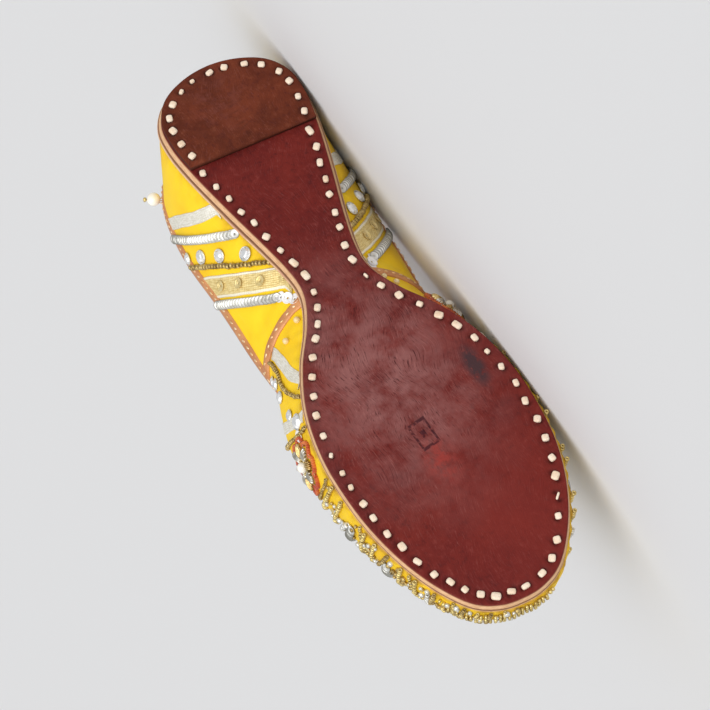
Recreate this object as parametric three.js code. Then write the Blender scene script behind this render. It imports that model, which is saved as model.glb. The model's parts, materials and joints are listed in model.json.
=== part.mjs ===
// A child's mojari: a flat slip-on of lined cloth on a stitched leather sole.
// The shoe is worked out standing, X from heel to toe, Y to the wearer's left, Z up,
// and then laid on its side, where it rests on the sole's edge and the upper's collar.
// Millimetres throughout.

import * as THREE from 'three';

// Driving sizes
const SOLE_LENGTH = 165;
const BALL_HALF_WIDTH = 25.6;
const INSTEP_HEIGHT = 37;
const TOE_SPRING = 7;
const ARCH_RISE = 1.2;
const UPPER_WALL = 2.2;
const OUTSOLE_THICKNESS = 1.8;
const MIDSOLE_THICKNESS = 1.1;
const INSOLE_THICKNESS = 1.3;
const HEEL_LIFT_THICKNESS = 1.5;
const HEEL_LIFT_LENGTH = 26;
const PEARL_RADIUS = 1.75;

// How far each edge stands out from the outline of the sole's tread
const OUTSOLE_EDGE_OUT = 0.9;
const MIDSOLE_EDGE_OUT = 1.3;
const UPPER_FOOT_OUT = 0.8;
const INSOLE_EDGE_IN = 2.3;
const FIT_GAP = 0.3;

// Where the tread curves: shares of the sole's length from the back of the heel
const ARCH_START = 0.16;
const FOREFOOT_FLAT_START = 0.58;
const FOREFOOT_FLAT_END = 0.78;
const TOE_CURVE_POWER = 1.9;

// The lean of the shoe as it lies on the wearer's right side, in degrees: sole edge at heel and
// ball, and the collar, all touch the floor
const LIE_ROLL = 7.38;
const LIE_PITCH = 4.34;

// Mesh fineness
const HALF_OUTLINE_STEPS = 60;
const RIB_STEPS = 10;
const PEARL_STEPS = 14;

// Outline of the tread: share of the length, and half width as a share of the ball's
const TREAD_OUTLINE = [
  { along: 0.000, half: 0.000 },
  { along: 0.008, half: 0.297 },
  { along: 0.030, half: 0.547 },
  { along: 0.064, half: 0.680 },
  { along: 0.103, half: 0.703 },
  { along: 0.158, half: 0.660 },
  { along: 0.242, half: 0.543 },
  { along: 0.327, half: 0.406 },
  { along: 0.376, half: 0.340 },
  { along: 0.412, half: 0.320 },
  { along: 0.442, half: 0.352 },
  { along: 0.485, half: 0.473 },
  { along: 0.545, half: 0.711 },
  { along: 0.612, half: 0.895 },
  { along: 0.685, half: 0.988 },
  { along: 0.752, half: 0.996 },
  { along: 0.824, half: 0.945 },
  { along: 0.891, half: 0.816 },
  { along: 0.945, half: 0.629 },
  { along: 0.982, half: 0.414 },
  { along: 0.997, half: 0.195 },
  { along: 1.000, half: 0.000 },
];

// Ribs of the upper. Each row is one rib, from the sole's edge to the collar or the ridge:
//   at        how far round the half outline its foot stands, 0 at the heel, 1 at the toe
//   along     place of its top, share of the sole's length
//   half      half width at its top, share of the ball's half width
//   rise      height of its top, share of the instep's height
//   footLean  degrees that the wall leans out where it leaves the sole
//   footPull  how far that lean carries, share of the rib's chord
//   topLean   degrees that the wall leans in where it ends, 90 where it is level
//   topPull   how far that lean carries
const THROAT_AT = 0.60;
const UPPER_RIBS = [
  { at: 0.000, along: 0.004, half: 0.000, rise: 0.92, footLean: 4, footPull: 0.33, topLean: 4, topPull: 0.33 },
  { at: 0.070, along: 0.021, half: 0.510, rise: 0.89, footLean: 6, footPull: 0.33, topLean: 2, topPull: 0.33 },
  { at: 0.150, along: 0.094, half: 0.820, rise: 0.78, footLean: 12, footPull: 0.33, topLean: -2, topPull: 0.33 },
  { at: 0.200, along: 0.155, half: 0.895, rise: 0.73, footLean: 24, footPull: 0.33, topLean: -4, topPull: 0.33 },
  { at: 0.250, along: 0.218, half: 0.922, rise: 0.68, footLean: 36, footPull: 0.33, topLean: -6, topPull: 0.33 },
  { at: 0.330, along: 0.309, half: 0.895, rise: 0.63, footLean: 48, footPull: 0.33, topLean: -8, topPull: 0.33 },
  { at: 0.400, along: 0.391, half: 0.883, rise: 0.60, footLean: 54, footPull: 0.33, topLean: -8, topPull: 0.33 },
  { at: 0.455, along: 0.461, half: 0.855, rise: 0.60, footLean: 54, footPull: 0.40, topLean: 4, topPull: 0.34 },
  { at: 0.500, along: 0.518, half: 0.766, rise: 0.66, footLean: 48, footPull: 0.50, topLean: 42, topPull: 0.48 },
  { at: 0.540, along: 0.568, half: 0.540, rise: 0.80, footLean: 38, footPull: 0.55, topLean: 62, topPull: 0.56 },
  { at: 0.575, along: 0.599, half: 0.270, rise: 0.93, footLean: 30, footPull: 0.54, topLean: 76, topPull: 0.58 },
  { at: 0.600, along: 0.611, half: 0.000, rise: 1.00, footLean: 25, footPull: 0.52, topLean: 90, topPull: 0.58 },
  { at: 0.650, along: 0.670, half: 0.000, rise: 0.92, footLean: 15, footPull: 0.48, topLean: 90, topPull: 0.57 },
  { at: 0.720, along: 0.742, half: 0.000, rise: 0.82, footLean: 9, footPull: 0.44, topLean: 90, topPull: 0.56 },
  { at: 0.820, along: 0.848, half: 0.000, rise: 0.67, footLean: 4, footPull: 0.38, topLean: 90, topPull: 0.54 },
  { at: 0.910, along: 0.918, half: 0.000, rise: 0.56, footLean: 2, footPull: 0.38, topLean: 90, topPull: 0.50 },
  { at: 1.000, along: 0.958, half: 0.000, rise: 0.49, footLean: 2, footPull: 0.42, topLean: 90, topPull: 0.45 },
];

// The pearls sewn to the collar: share of the length, of the ball's half width (left positive)
// and of the instep's height. The left one swings free. The right one has turned up beside the
// collar's edge, because the shoe lies on that side.
const PEARLS = [
  { name: 'pearl_left', along: 0.071, half: 0.870, rise: 0.755 },
  { name: 'pearl_right', along: 0.079, half: -0.775, rise: 0.865 },
];

// A column of a table as a smooth curve over its key column, without overshoot
function columnCurve(rows, key, column) {
  const x = rows.map((row) => row[key]);
  const y = rows.map((row) => row[column]);
  const last = x.length - 1;
  const slope = (i) => (y[i + 1] - y[i]) / (x[i + 1] - x[i]);
  const tangent = x.map((_, i) => {
    if (i === 0) return slope(0);
    if (i === last) return slope(last - 1);
    const before = slope(i - 1);
    const after = slope(i);
    return before * after <= 0 ? 0 : (2 * before * after) / (before + after);
  });
  return (at) => {
    let i = 0;
    while (i < last - 1 && at > x[i + 1]) i += 1;
    const span = x[i + 1] - x[i];
    const t = THREE.MathUtils.clamp((at - x[i]) / span, 0, 1);
    const t2 = t * t;
    const t3 = t2 * t;
    return (2 * t3 - 3 * t2 + 1) * y[i] + (t3 - 2 * t2 + t) * span * tangent[i]
      + (3 * t2 - 2 * t3) * y[i + 1] + (t3 - t2) * span * tangent[i + 1];
  };
}

// The tread outline as one closed curve, heel to toe along the left and back along the right
function treadCurve() {
  const left = TREAD_OUTLINE.map(
    (row) => new THREE.Vector3(row.along * SOLE_LENGTH, row.half * BALL_HALF_WIDTH, 0));
  const right = left.slice(1, -1).reverse().map((p) => new THREE.Vector3(p.x, -p.y, 0));
  const curve = new THREE.CatmullRomCurve3([...left, ...right], true, 'centripetal');
  curve.arcLengthDivisions = 2000;
  return curve;
}

const TREAD = treadCurve();

// A point on the left half of an outline that stands `out` millimetres outside the tread
function outlinePoint(at, out) {
  const point = TREAD.getPointAt(at / 2);
  const outward = outwardAt(at);
  return new THREE.Vector2(point.x + outward.x * out, point.y + outward.y * out);
}

// The outward direction of the tread outline, level with the floor
function outwardAt(at) {
  if (at <= 0) return new THREE.Vector2(-1, 0);
  if (at >= 1) return new THREE.Vector2(1, 0);
  const tangent = TREAD.getTangentAt(at / 2);
  return new THREE.Vector2(-tangent.y, tangent.x).normalize();
}

// Where on the half outline the tread reaches a given distance from the heel
function atDistance(distance) {
  let low = 0;
  let high = 1;
  for (let step = 0; step < 40; step += 1) {
    const middle = (low + high) / 2;
    if (TREAD.getPointAt(middle / 2).x < distance) low = middle;
    else high = middle;
  }
  return (low + high) / 2;
}

// Height of the tread above the floor plane: heel, shallow arch, flat forefoot, toe spring
function treadHeight(x) {
  const along = x / SOLE_LENGTH;
  const heel = HEEL_LIFT_THICKNESS + FIT_GAP;
  if (along <= ARCH_START) return heel;
  if (along < FOREFOOT_FLAT_START) {
    const t = (along - ARCH_START) / (FOREFOOT_FLAT_START - ARCH_START);
    const fall = heel * (1 - t * t * (3 - 2 * t));
    return fall + ARCH_RISE * Math.sin(Math.PI * t) ** 2;
  }
  if (along <= FOREFOOT_FLAT_END) return 0;
  const t = (along - FOREFOOT_FLAT_END) / (1 - FOREFOOT_FLAT_END);
  return TOE_SPRING * t ** TOE_CURVE_POWER;
}

const MIDSOLE_BASE = OUTSOLE_THICKNESS + FIT_GAP;
const UPPER_BASE = MIDSOLE_BASE + MIDSOLE_THICKNESS + FIT_GAP;

// A closed solid from a list of corners and a list of triangles that face out
function solid(corners, triangles) {
  const geometry = new THREE.BufferGeometry();
  const position = new Float32Array(corners.length * 3);
  corners.forEach((corner, i) => corner.toArray(position, i * 3));
  geometry.setAttribute('position', new THREE.BufferAttribute(position, 3));
  geometry.setIndex(triangles);
  geometry.computeVertexNormals();
  return geometry;
}

// A layer of the sole. Its edge is a short list of rows from bottom to top, each with how far
// it stands out from the tread and how high it is over the tread. `end` is where the layer
// stops on the half outline: 1 at the toe, less where it is cut straight across.
function soleLayer(edge, end) {
  const steps = Math.max(8, Math.round(HALF_OUTLINE_STEPS * end));
  const roundToe = end === 1;
  const corners = [];
  const rings = edge.map(({ out, up, flat }) => {
    const left = [];
    for (let i = 0; i <= steps; i += 1) {
      const at = (end * i) / steps;
      const p = outlinePoint(at, out);
      const z = flat === undefined ? treadHeight(TREAD.getPointAt(at / 2).x) + up : flat;
      left.push(new THREE.Vector3(p.x, i === 0 ? 0 : p.y, z));
    }
    if (roundToe) left[steps].y = 0;
    else left[steps].x = TREAD.getPointAt(end / 2).x;
    const lastRight = roundToe ? steps - 1 : steps;
    const ring = left.map((corner) => corners.push(corner) - 1);
    for (let i = lastRight; i > 0; i -= 1) {
      ring.push(corners.push(new THREE.Vector3(left[i].x, -left[i].y, left[i].z)) - 1);
    }
    return ring;
  });
  const count = rings[0].length;
  const triangles = [];
  for (let k = 0; k + 1 < rings.length; k += 1) {
    for (let i = 0; i < count; i += 1) {
      const j = (i + 1) % count;
      triangles.push(rings[k][i], rings[k + 1][i], rings[k][j]);
      triangles.push(rings[k][j], rings[k + 1][i], rings[k + 1][j]);
    }
  }
  // Bottom and top are ladders between the left and right outlines, so they bend only lengthways
  const ladder = (ring, faceUp) => {
    const pairs = Math.floor(count / 2);
    for (let i = 0; i < pairs; i += 1) {
      const a = ring[i];
      const b = ring[i + 1];
      const c = ring[(count - i - 1) % count];
      const d = ring[(count - i) % count];
      const faces = [[a, b, c], [a, c, d]];
      for (const face of faces) {
        const [p, q, r] = face;
        if (p === q || q === r || p === r) continue;
        triangles.push(...(faceUp ? [p, r, q] : [p, q, r]));
      }
    }
  };
  ladder(rings[0], false);
  ladder(rings[rings.length - 1], true);
  return solid(corners, triangles);
}

const ribCurves = Object.fromEntries(
  ['along', 'half', 'rise', 'footLean', 'footPull', 'topLean', 'topPull']
    .map((column) => [column, columnCurve(UPPER_RIBS, 'at', column)]));

// Top end of a rib, on the collar or on the ridge over the toes
function ribTop(at) {
  return new THREE.Vector3(
    ribCurves.along(at) * SOLE_LENGTH,
    at >= THROAT_AT ? 0 : ribCurves.half(at) * BALL_HALF_WIDTH,
    ribCurves.rise(at) * INSTEP_HEIGHT);
}

// One rib of the upper's outer face, a cubic curve from the sole's edge to its top
function upperRib(at) {
  const foot2 = outlinePoint(at, UPPER_FOOT_OUT);
  const outward = outwardAt(at);
  const onTread = TREAD.getPointAt(at / 2);
  const foot = new THREE.Vector3(foot2.x, foot2.y, treadHeight(onTread.x) + UPPER_BASE);
  const top = ribTop(at);
  const chord = foot.distanceTo(top);
  const footLean = THREE.MathUtils.degToRad(ribCurves.footLean(at));
  const topLean = THREE.MathUtils.degToRad(ribCurves.topLean(at));
  const nudge = 0.01;
  const before = ribTop(Math.max(at - nudge, THROAT_AT));
  const after = ribTop(Math.min(at + nudge, 1));
  const ridgeSlope = at < THROAT_AT ? 0 : (after.z - before.z) / (after.x - before.x);
  const footHandle = new THREE.Vector3(
    outward.x * Math.sin(footLean), outward.y * Math.sin(footLean), Math.cos(footLean));
  const topHandle = new THREE.Vector3(
    outward.x * Math.sin(topLean),
    outward.y * Math.sin(topLean),
    outward.x * Math.sin(topLean) * ridgeSlope - Math.cos(topLean));
  return new THREE.CubicBezierCurve3(
    foot,
    foot.clone().addScaledVector(footHandle, chord * ribCurves.footPull(at)),
    top.clone().addScaledVector(topHandle, chord * ribCurves.topPull(at)),
    top);
}

// The upper: outer face from the ribs, inner face one wall inside it, closed at the collar
// and along its foot by flat rims
function upperShell() {
  const columns = [];
  for (let i = 0; i <= HALF_OUTLINE_STEPS; i += 1) {
    columns.push(upperRib(i / HALF_OUTLINE_STEPS).getPoints(RIB_STEPS));
  }
  const throat = Math.round(THROAT_AT * HALF_OUTLINE_STEPS);
  columns[throat][RIB_STEPS].y = 0;
  columns[0].forEach((p) => { p.y = 0; });
  columns[HALF_OUTLINE_STEPS].forEach((p) => { p.y = 0; });
  const mirrored = (p) => new THREE.Vector3(p.x, -p.y, p.z);
  const pointAt = (i, j) => {
    const row = THREE.MathUtils.clamp(j, 0, RIB_STEPS);
    if (i < 0) return mirrored(columns[-i][row]);
    if (i > HALF_OUTLINE_STEPS) return mirrored(columns[2 * HALF_OUTLINE_STEPS - i][row]);
    if (j > RIB_STEPS && i >= throat) return mirrored(columns[i][2 * RIB_STEPS - j]);
    return columns[i][row];
  };
  const innerPoint = (i, j) => {
    const outer = columns[i][j];
    const round = pointAt(i + 1, j).clone().sub(pointAt(i - 1, j));
    const climb = pointAt(i, j + 1).clone().sub(pointAt(i, j - 1));
    const normal = climb.cross(round).normalize();
    if (j === 0) {
      const level = new THREE.Vector3(normal.x, normal.y, 0).normalize();
      return outer.clone().addScaledVector(level, -UPPER_WALL);
    }
    const inner = outer.clone().addScaledVector(normal, -UPPER_WALL);
    if (i === 0 || i === HALF_OUTLINE_STEPS || outer.y === 0) inner.y = 0;
    return inner;
  };

  const corners = [];
  const half = (side) => {
    const outer = [];
    const inner = [];
    for (let i = 0; i <= HALF_OUTLINE_STEPS; i += 1) {
      outer.push([]);
      inner.push([]);
      for (let j = 0; j <= RIB_STEPS; j += 1) {
        const onSeam = i === 0 || i === HALF_OUTLINE_STEPS || (j === RIB_STEPS && i >= throat);
        if (side < 0 && onSeam) {
          outer[i].push(leftHalf.outer[i][j]);
          inner[i].push(leftHalf.inner[i][j]);
          continue;
        }
        const a = columns[i][j].clone();
        const b = innerPoint(i, j);
        a.y *= side;
        b.y *= side;
        outer[i].push(corners.push(a) - 1);
        inner[i].push(corners.push(b) - 1);
      }
    }
    return { outer, inner };
  };
  const leftHalf = half(1);
  const rightHalf = half(-1);

  const triangles = [];
  const quad = (a, b, c, d, flip) => {
    const faces = flip ? [[a, c, b], [a, d, c]] : [[a, b, c], [a, c, d]];
    faces.forEach((face) => triangles.push(...face));
  };
  [[leftHalf, false], [rightHalf, true]].forEach(([{ outer, inner }, flip]) => {
    for (let i = 0; i < HALF_OUTLINE_STEPS; i += 1) {
      for (let j = 0; j < RIB_STEPS; j += 1) {
        quad(outer[i][j], outer[i][j + 1], outer[i + 1][j + 1], outer[i + 1][j], flip);
        quad(inner[i][j], inner[i][j + 1], inner[i + 1][j + 1], inner[i + 1][j], !flip);
      }
      quad(outer[i][0], outer[i + 1][0], inner[i + 1][0], inner[i][0], flip);
      if (i < throat) {
        const top = RIB_STEPS;
        quad(inner[i][top], inner[i + 1][top], outer[i + 1][top], outer[i][top], flip);
      }
    }
  });
  return solid(corners, triangles);
}

// Finishes
const finish = (color, roughness) => new THREE.MeshStandardMaterial({ color, roughness, metalness: 0 });
const oxbloodLeather = finish(0x6e2a2b, 0.5);
const brownLeather = finish(0x6a3326, 0.6);
const tanLeather = finish(0xd9a878, 0.65);
const paleLeather = finish(0xc79a6b, 0.7);
const yellowSilk = finish(0xf2c233, 0.55);
const pearlShine = finish(0xf1ece2, 0.2);

const shoe = new THREE.Group();

function addPiece(name, geometry, material) {
  const mesh = new THREE.Mesh(geometry, material);
  mesh.name = name;
  shoe.add(mesh);
  return mesh;
}

addPiece('heel_lift', soleLayer([
  { out: 0, flat: 0 },
  { out: 0, flat: HEEL_LIFT_THICKNESS },
], atDistance(HEEL_LIFT_LENGTH)), brownLeather);

addPiece('outsole', soleLayer([
  { out: 0, up: 0 },
  { out: OUTSOLE_EDGE_OUT, up: OUTSOLE_THICKNESS },
], 1), oxbloodLeather);

addPiece('midsole', soleLayer([
  { out: MIDSOLE_EDGE_OUT, up: MIDSOLE_BASE },
  { out: MIDSOLE_EDGE_OUT, up: MIDSOLE_BASE + MIDSOLE_THICKNESS },
], 1), tanLeather);

addPiece('insole', soleLayer([
  { out: -INSOLE_EDGE_IN, up: UPPER_BASE },
  { out: -INSOLE_EDGE_IN, up: UPPER_BASE + INSOLE_THICKNESS },
], 1), paleLeather);

addPiece('upper', upperShell(), yellowSilk);

PEARLS.forEach(({ name, along, half, rise }) => {
  const ball = new THREE.SphereGeometry(PEARL_RADIUS, PEARL_STEPS, PEARL_STEPS / 2);
  addPiece(name, ball, pearlShine).position.set(
    along * SOLE_LENGTH, half * BALL_HALF_WIDTH, rise * INSTEP_HEIGHT);
});

// Laying the shoe down: its left side turns up, its sole faces -Y and its toe points to -X
const turned = new THREE.Group();
turned.rotation.set(Math.PI / 2, 0, Math.PI, 'ZYX');
turned.add(shoe);

const lying = new THREE.Group();
lying.rotation.set(THREE.MathUtils.degToRad(LIE_ROLL), THREE.MathUtils.degToRad(LIE_PITCH), 0, 'YXZ');
lying.add(turned);

// The lowest point of the lying shoe goes to the floor, and the middle of its box over the origin
lying.updateMatrixWorld(true);
const box = new THREE.Box3().setFromObject(lying, true);
const middle = box.getCenter(new THREE.Vector3());
lying.position.set(-middle.x, -middle.y, -box.min.z);

const mojari = new THREE.Group();
mojari.name = 'mojari';
mojari.add(lying);

export default mojari;
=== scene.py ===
import bpy
import json
import math
import numpy as np
from mathutils import Matrix, Vector
from mathutils.bvhtree import BVHTree


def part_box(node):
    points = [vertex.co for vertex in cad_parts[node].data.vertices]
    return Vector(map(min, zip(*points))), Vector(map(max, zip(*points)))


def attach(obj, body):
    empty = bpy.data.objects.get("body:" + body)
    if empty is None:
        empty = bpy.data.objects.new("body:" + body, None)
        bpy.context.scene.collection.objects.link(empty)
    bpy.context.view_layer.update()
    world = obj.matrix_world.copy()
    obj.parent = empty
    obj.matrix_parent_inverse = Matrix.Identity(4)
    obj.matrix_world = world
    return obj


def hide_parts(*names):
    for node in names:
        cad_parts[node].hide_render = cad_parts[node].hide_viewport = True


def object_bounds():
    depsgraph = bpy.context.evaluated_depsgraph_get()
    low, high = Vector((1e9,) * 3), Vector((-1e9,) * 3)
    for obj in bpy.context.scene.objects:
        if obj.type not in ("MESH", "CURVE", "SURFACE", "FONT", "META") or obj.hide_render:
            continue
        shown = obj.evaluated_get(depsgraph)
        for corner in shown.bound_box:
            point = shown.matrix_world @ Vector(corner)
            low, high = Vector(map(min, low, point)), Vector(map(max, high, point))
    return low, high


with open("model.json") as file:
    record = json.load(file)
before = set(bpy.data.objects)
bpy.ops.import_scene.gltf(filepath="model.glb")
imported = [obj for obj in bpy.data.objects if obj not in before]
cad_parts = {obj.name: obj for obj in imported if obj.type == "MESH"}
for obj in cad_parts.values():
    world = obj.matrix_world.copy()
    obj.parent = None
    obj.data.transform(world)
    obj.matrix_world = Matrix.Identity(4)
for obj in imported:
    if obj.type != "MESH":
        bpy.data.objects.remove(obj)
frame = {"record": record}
cad_box = [list(corner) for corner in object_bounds()]


# ------------------------------------------------------------------ camera, floor and lights
# The shoe lies on its side on a pale table. The camera stands low on the side of the sole and
# is rolled, so that the heel is up and the toe down in the picture.

scene = bpy.context.scene
shoe_middle = (Vector(cad_box[0]) + Vector(cad_box[1])) / 2


def place_facing_shoe(name, data, away, azimuth, elevation, roll=0.0):
    """A camera or light that looks at the middle of the shoe; angles are in degrees."""
    around, above, turn = (math.radians(angle) for angle in (azimuth, elevation, roll))
    back = Vector((math.cos(above) * math.cos(around), math.cos(above) * math.sin(around), math.sin(above)))
    level = Vector((0, 0, 1)).cross(back).normalized()
    up = back.cross(level) * math.cos(turn) + level * math.sin(turn)
    placed = bpy.data.objects.new(name, data)
    axes = Matrix((up.cross(back), up, back)).transposed().to_4x4()
    placed.matrix_world = Matrix.Translation(shoe_middle + back * away) @ axes
    scene.collection.objects.link(placed)
    return placed


camera = place_facing_shoe("camera", bpy.data.cameras.new("camera"), 0.929, -119.2, 9.0, roll=121.2)
camera.data.lens = 196.0
scene.camera = camera
scene.view_settings.view_transform = "Standard"

SOFT_SUNS = [
    # name, azimuth, elevation, width of the light in degrees, strength
    ("window_overhead", -100, 56, 60, 0.95),
    ("window_by_the_sole", -124, 32, 60, 1.45),
    ("window_by_the_toe", 160, 40, 50, 0.25),
]
for name, azimuth, elevation, width, strength in SOFT_SUNS:
    light = bpy.data.lights.new(name, "SUN")
    light.angle = math.radians(width)
    light.energy = strength
    place_facing_shoe(name, light, 2.0, azimuth, elevation)

room = bpy.data.worlds.new("room_light")
room.use_nodes = True
room.node_tree.nodes["Background"].inputs["Color"].default_value = (0.985, 0.99, 1.0, 1)
room.node_tree.nodes["Background"].inputs["Strength"].default_value = 0.52
scene.world = room

TABLE_HALF = 9.0
table_mesh = bpy.data.meshes.new("table_top")
table_mesh.from_pydata([(x * TABLE_HALF, y * TABLE_HALF, 0) for x, y in ((-1, -1), (1, -1), (1, 1), (-1, 1))],
                       [], [(0, 1, 2, 3)])
table_top = bpy.data.objects.new("table_top", table_mesh)
scene.collection.objects.link(table_top)
table_paint = bpy.data.materials.new("table_paint")
table_paint.use_nodes = True
for socket, value in (("Base Color", (0.70, 0.70, 0.705, 1)), ("Roughness", 0.9)):
    table_paint.node_tree.nodes["Principled BSDF"].inputs[socket].default_value = value
table_mesh.materials.append(table_paint)


# ------------------------------------------------------------------ outsole
# One piece of vegetable-tanned hide, dyed oxblood on the face that walks and left tan on the
# cut edge. It is cut by hand round the last, and its rim is punched for the thick sole stitches.

SOLE_LENGTH, BALL_HALF_WIDTH = 165.0, 25.6
TOE_SPRING, TOE_CURVE_POWER = 7.0, 1.9
ARCH_RISE = 1.2
ARCH_START, FOREFOOT_FLAT_START, FOREFOOT_FLAT_END = 0.16, 0.58, 0.78
HEEL_LIFT_THICKNESS, HEEL_LIFT_LENGTH = 1.5, 26.0
OUTSOLE_THICKNESS = 1.8
FIT_GAP = 0.3
LIE_ROLL, LIE_PITCH = 7.38, 4.34

TREAD_OUTLINE = [
    # share of the length, half width as a share of the ball's
    (0.000, 0.000), (0.008, 0.297), (0.030, 0.547), (0.064, 0.680), (0.103, 0.703), (0.158, 0.660),
    (0.242, 0.543), (0.327, 0.406), (0.376, 0.340), (0.412, 0.320), (0.442, 0.352), (0.485, 0.473),
    (0.545, 0.711), (0.612, 0.895), (0.685, 0.988), (0.752, 0.996), (0.824, 0.945), (0.891, 0.816),
    (0.945, 0.629), (0.982, 0.414), (0.997, 0.195), (1.000, 0.000),
]


def walked_along(points):
    """The distance walked to each point of a path."""
    return np.concatenate([[0], np.cumsum(np.linalg.norm(np.diff(points, axis=0), axis=1))])


def unit(ways):
    return ways / np.linalg.norm(ways, axis=-1, keepdims=True)


def eased(x, low, high):
    """0 up to low, 1 from high, and smooth between them."""
    t = np.clip((np.asarray(x, float) - low) / (high - low), 0, 1)
    return t * t * (3 - 2 * t)


def tread_loop(divisions=4000):
    """The tread's outline as close points, heel to toe on the left and back on the right. It is a
    centripetal Catmull-Rom curve through the outline's rows."""
    left = np.array(TREAD_OUTLINE) * (SOLE_LENGTH, BALL_HALF_WIDTH)
    knots = np.vstack([left, left[1:-1][::-1] * (1, -1)])
    count = len(knots)
    steps = np.arange(divisions + 1) * count / divisions
    first = np.minimum(steps.astype(int), count - 1)
    t = (steps - first)[:, None]
    a, b, c, d = (knots[(first + shift) % count] for shift in (-1, 0, 1, 2))
    ab, bc, cd = (np.sqrt(np.linalg.norm(q - p, axis=1))[:, None] for p, q in ((a, b), (b, c), (c, d)))
    leave = ((b - a) / ab - (c - a) / (ab + bc) + (c - b) / bc) * bc
    arrive = ((c - b) / bc - (d - b) / (bc + cd) + (d - c) / cd) * bc
    return (b + leave * t + (3 * (c - b) - 2 * leave - arrive) * t**2
            + (2 * (b - c) + leave + arrive) * t**3)


TREAD_POINTS = tread_loop()
TREAD_WALKED = walked_along(TREAD_POINTS)
HALF_ROUND = TREAD_WALKED[-1] / 2


def on_tread(at):
    """Points of the left half of the tread's outline; at runs from 0 at the heel to 1 at the toe."""
    walked = np.asarray(at, float) * HALF_ROUND
    return np.stack([np.interp(walked, TREAD_WALKED, TREAD_POINTS[:, k]) for k in (0, 1)], axis=-1)


def outward(at):
    """Level directions out of the tread, on the left half."""
    at = np.asarray(at, float)
    ahead = unit(on_tread(np.minimum(at + 0.0015, 1)) - on_tread(np.maximum(at - 0.0015, 0)))
    sideways = np.stack([-ahead[..., 1], ahead[..., 0]], axis=-1)
    sideways[at <= 0] = (-1, 0)
    sideways[at >= 1] = (1, 0)
    return sideways


def tread_height(x):
    """Height of the tread over the floor plane: heel, shallow arch, flat forefoot, toe spring."""
    along = np.asarray(x, float) / SOLE_LENGTH
    t = np.clip((along - ARCH_START) / (FOREFOOT_FLAT_START - ARCH_START), 0, 1)
    back = (HEEL_LIFT_THICKNESS + FIT_GAP) * (1 - eased(t, 0, 1)) + ARCH_RISE * np.sin(math.pi * t) ** 2
    t = np.clip((along - FOREFOOT_FLAT_END) / (1 - FOREFOOT_FLAT_END), 0, 1.1)
    return back + TOE_SPRING * t**TOE_CURVE_POWER


# The shoe is worked out standing, in millimetres, X from heel to toe, Y to the wearer's left.
# Laid down, its left side is up, its sole faces -Y and its toe points to -X.
LYING = np.array(
    Matrix.Rotation(math.radians(LIE_PITCH), 3, "Y") @ Matrix.Rotation(math.radians(LIE_ROLL), 3, "X")
    @ Matrix.Rotation(math.pi, 3, "Z") @ Matrix.Rotation(math.pi / 2, 3, "X"))
heel_rest = next(m["pos_m"] for m in frame["record"]["mounts"] if m["name"] == "heel_rest")
LYING_PLACE = np.array(heel_rest) * 1000 - LYING @ (HEEL_LIFT_LENGTH / 2, 0, 0)


def lay_down(standing):
    """From the standing shoe's millimetres to the row's metres. What would pass below the table
    is pressed flat against it."""
    lying = (np.asarray(standing, float) @ LYING.T + LYING_PLACE) / 1000
    lying[:, 2] = np.maximum(lying[:, 2], 0)
    return lying


def quads(rows, columns, start=0, round_rows=False, round_columns=True, turned=False):
    """Faces of a net of corners, which may close on itself along its rows or its columns."""
    faces = []
    for row in range(rows if round_rows else rows - 1):
        here, there = start + row * columns, start + (row + 1) % rows * columns
        for k in range(columns if round_columns else columns - 1):
            after = (k + 1) % columns
            quad = (here + k, here + after, there + after, there + k)
            faces.append(quad[::-1] if turned else quad)
    return faces


def weld(corners, faces):
    """Joins corners that fall on one another, and drops the faces that this closes up."""
    _, kept, joined = np.unique(np.round(corners * 2000).astype(np.int64), axis=0, return_index=True,
                                return_inverse=True)
    joined = joined.ravel()
    sound = []
    for face in faces:
        loop = [int(joined[k]) for k in face]
        loop = [k for place, k in enumerate(loop) if k != loop[place - 1]]
        if len(loop) > 2 and len(set(loop)) == len(loop):
            sound.append(loop)
    return corners[kept], sound, kept


def make_piece(name, corners, faces, finish, slot, stands_for=(), smooth=True, marks=None):
    """A finished piece from its corners, standing and in millimetres. It keeps its standing place
    in centimetres as "last_place", and any other marks that its finish reads."""
    corners, faces, kept = weld(np.asarray(corners, float), faces)
    mesh = bpy.data.meshes.new(name)
    mesh.from_pydata(lay_down(corners).tolist(), [], faces)
    marks = {mark: np.asarray(values)[kept] for mark, values in (marks or {}).items()}
    for mark, values in {"last_place": corners / 10, **marks}.items():
        kind, field = ("FLOAT", "value") if values.ndim == 1 else ("FLOAT_VECTOR", "vector")
        mesh.attributes.new(mark, kind, "POINT").data.foreach_set(field, values.astype(np.float32).ravel())
    mesh.polygons.foreach_set("use_smooth", [smooth] * len(mesh.polygons))
    mesh.materials.append(finish.material)
    mesh.validate()
    piece = bpy.data.objects.new(name, mesh)
    scene.collection.objects.link(piece)
    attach(piece, "root")
    if stands_for:
        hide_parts(*stands_for)


def sole_layer(name, rows, faces, finish, slot, node_name, *mark_names):
    """A layer of the sole. Each row is its corners and then its marks."""
    corners, *marks = zip(*rows)
    spread = {mark: np.concatenate([np.broadcast_to(value, len(corners[0])) for value in values])
              for mark, values in zip(mark_names, marks)}
    make_piece(name, np.vstack(corners), faces, finish, slot, [node_name], marks=spread)


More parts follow.
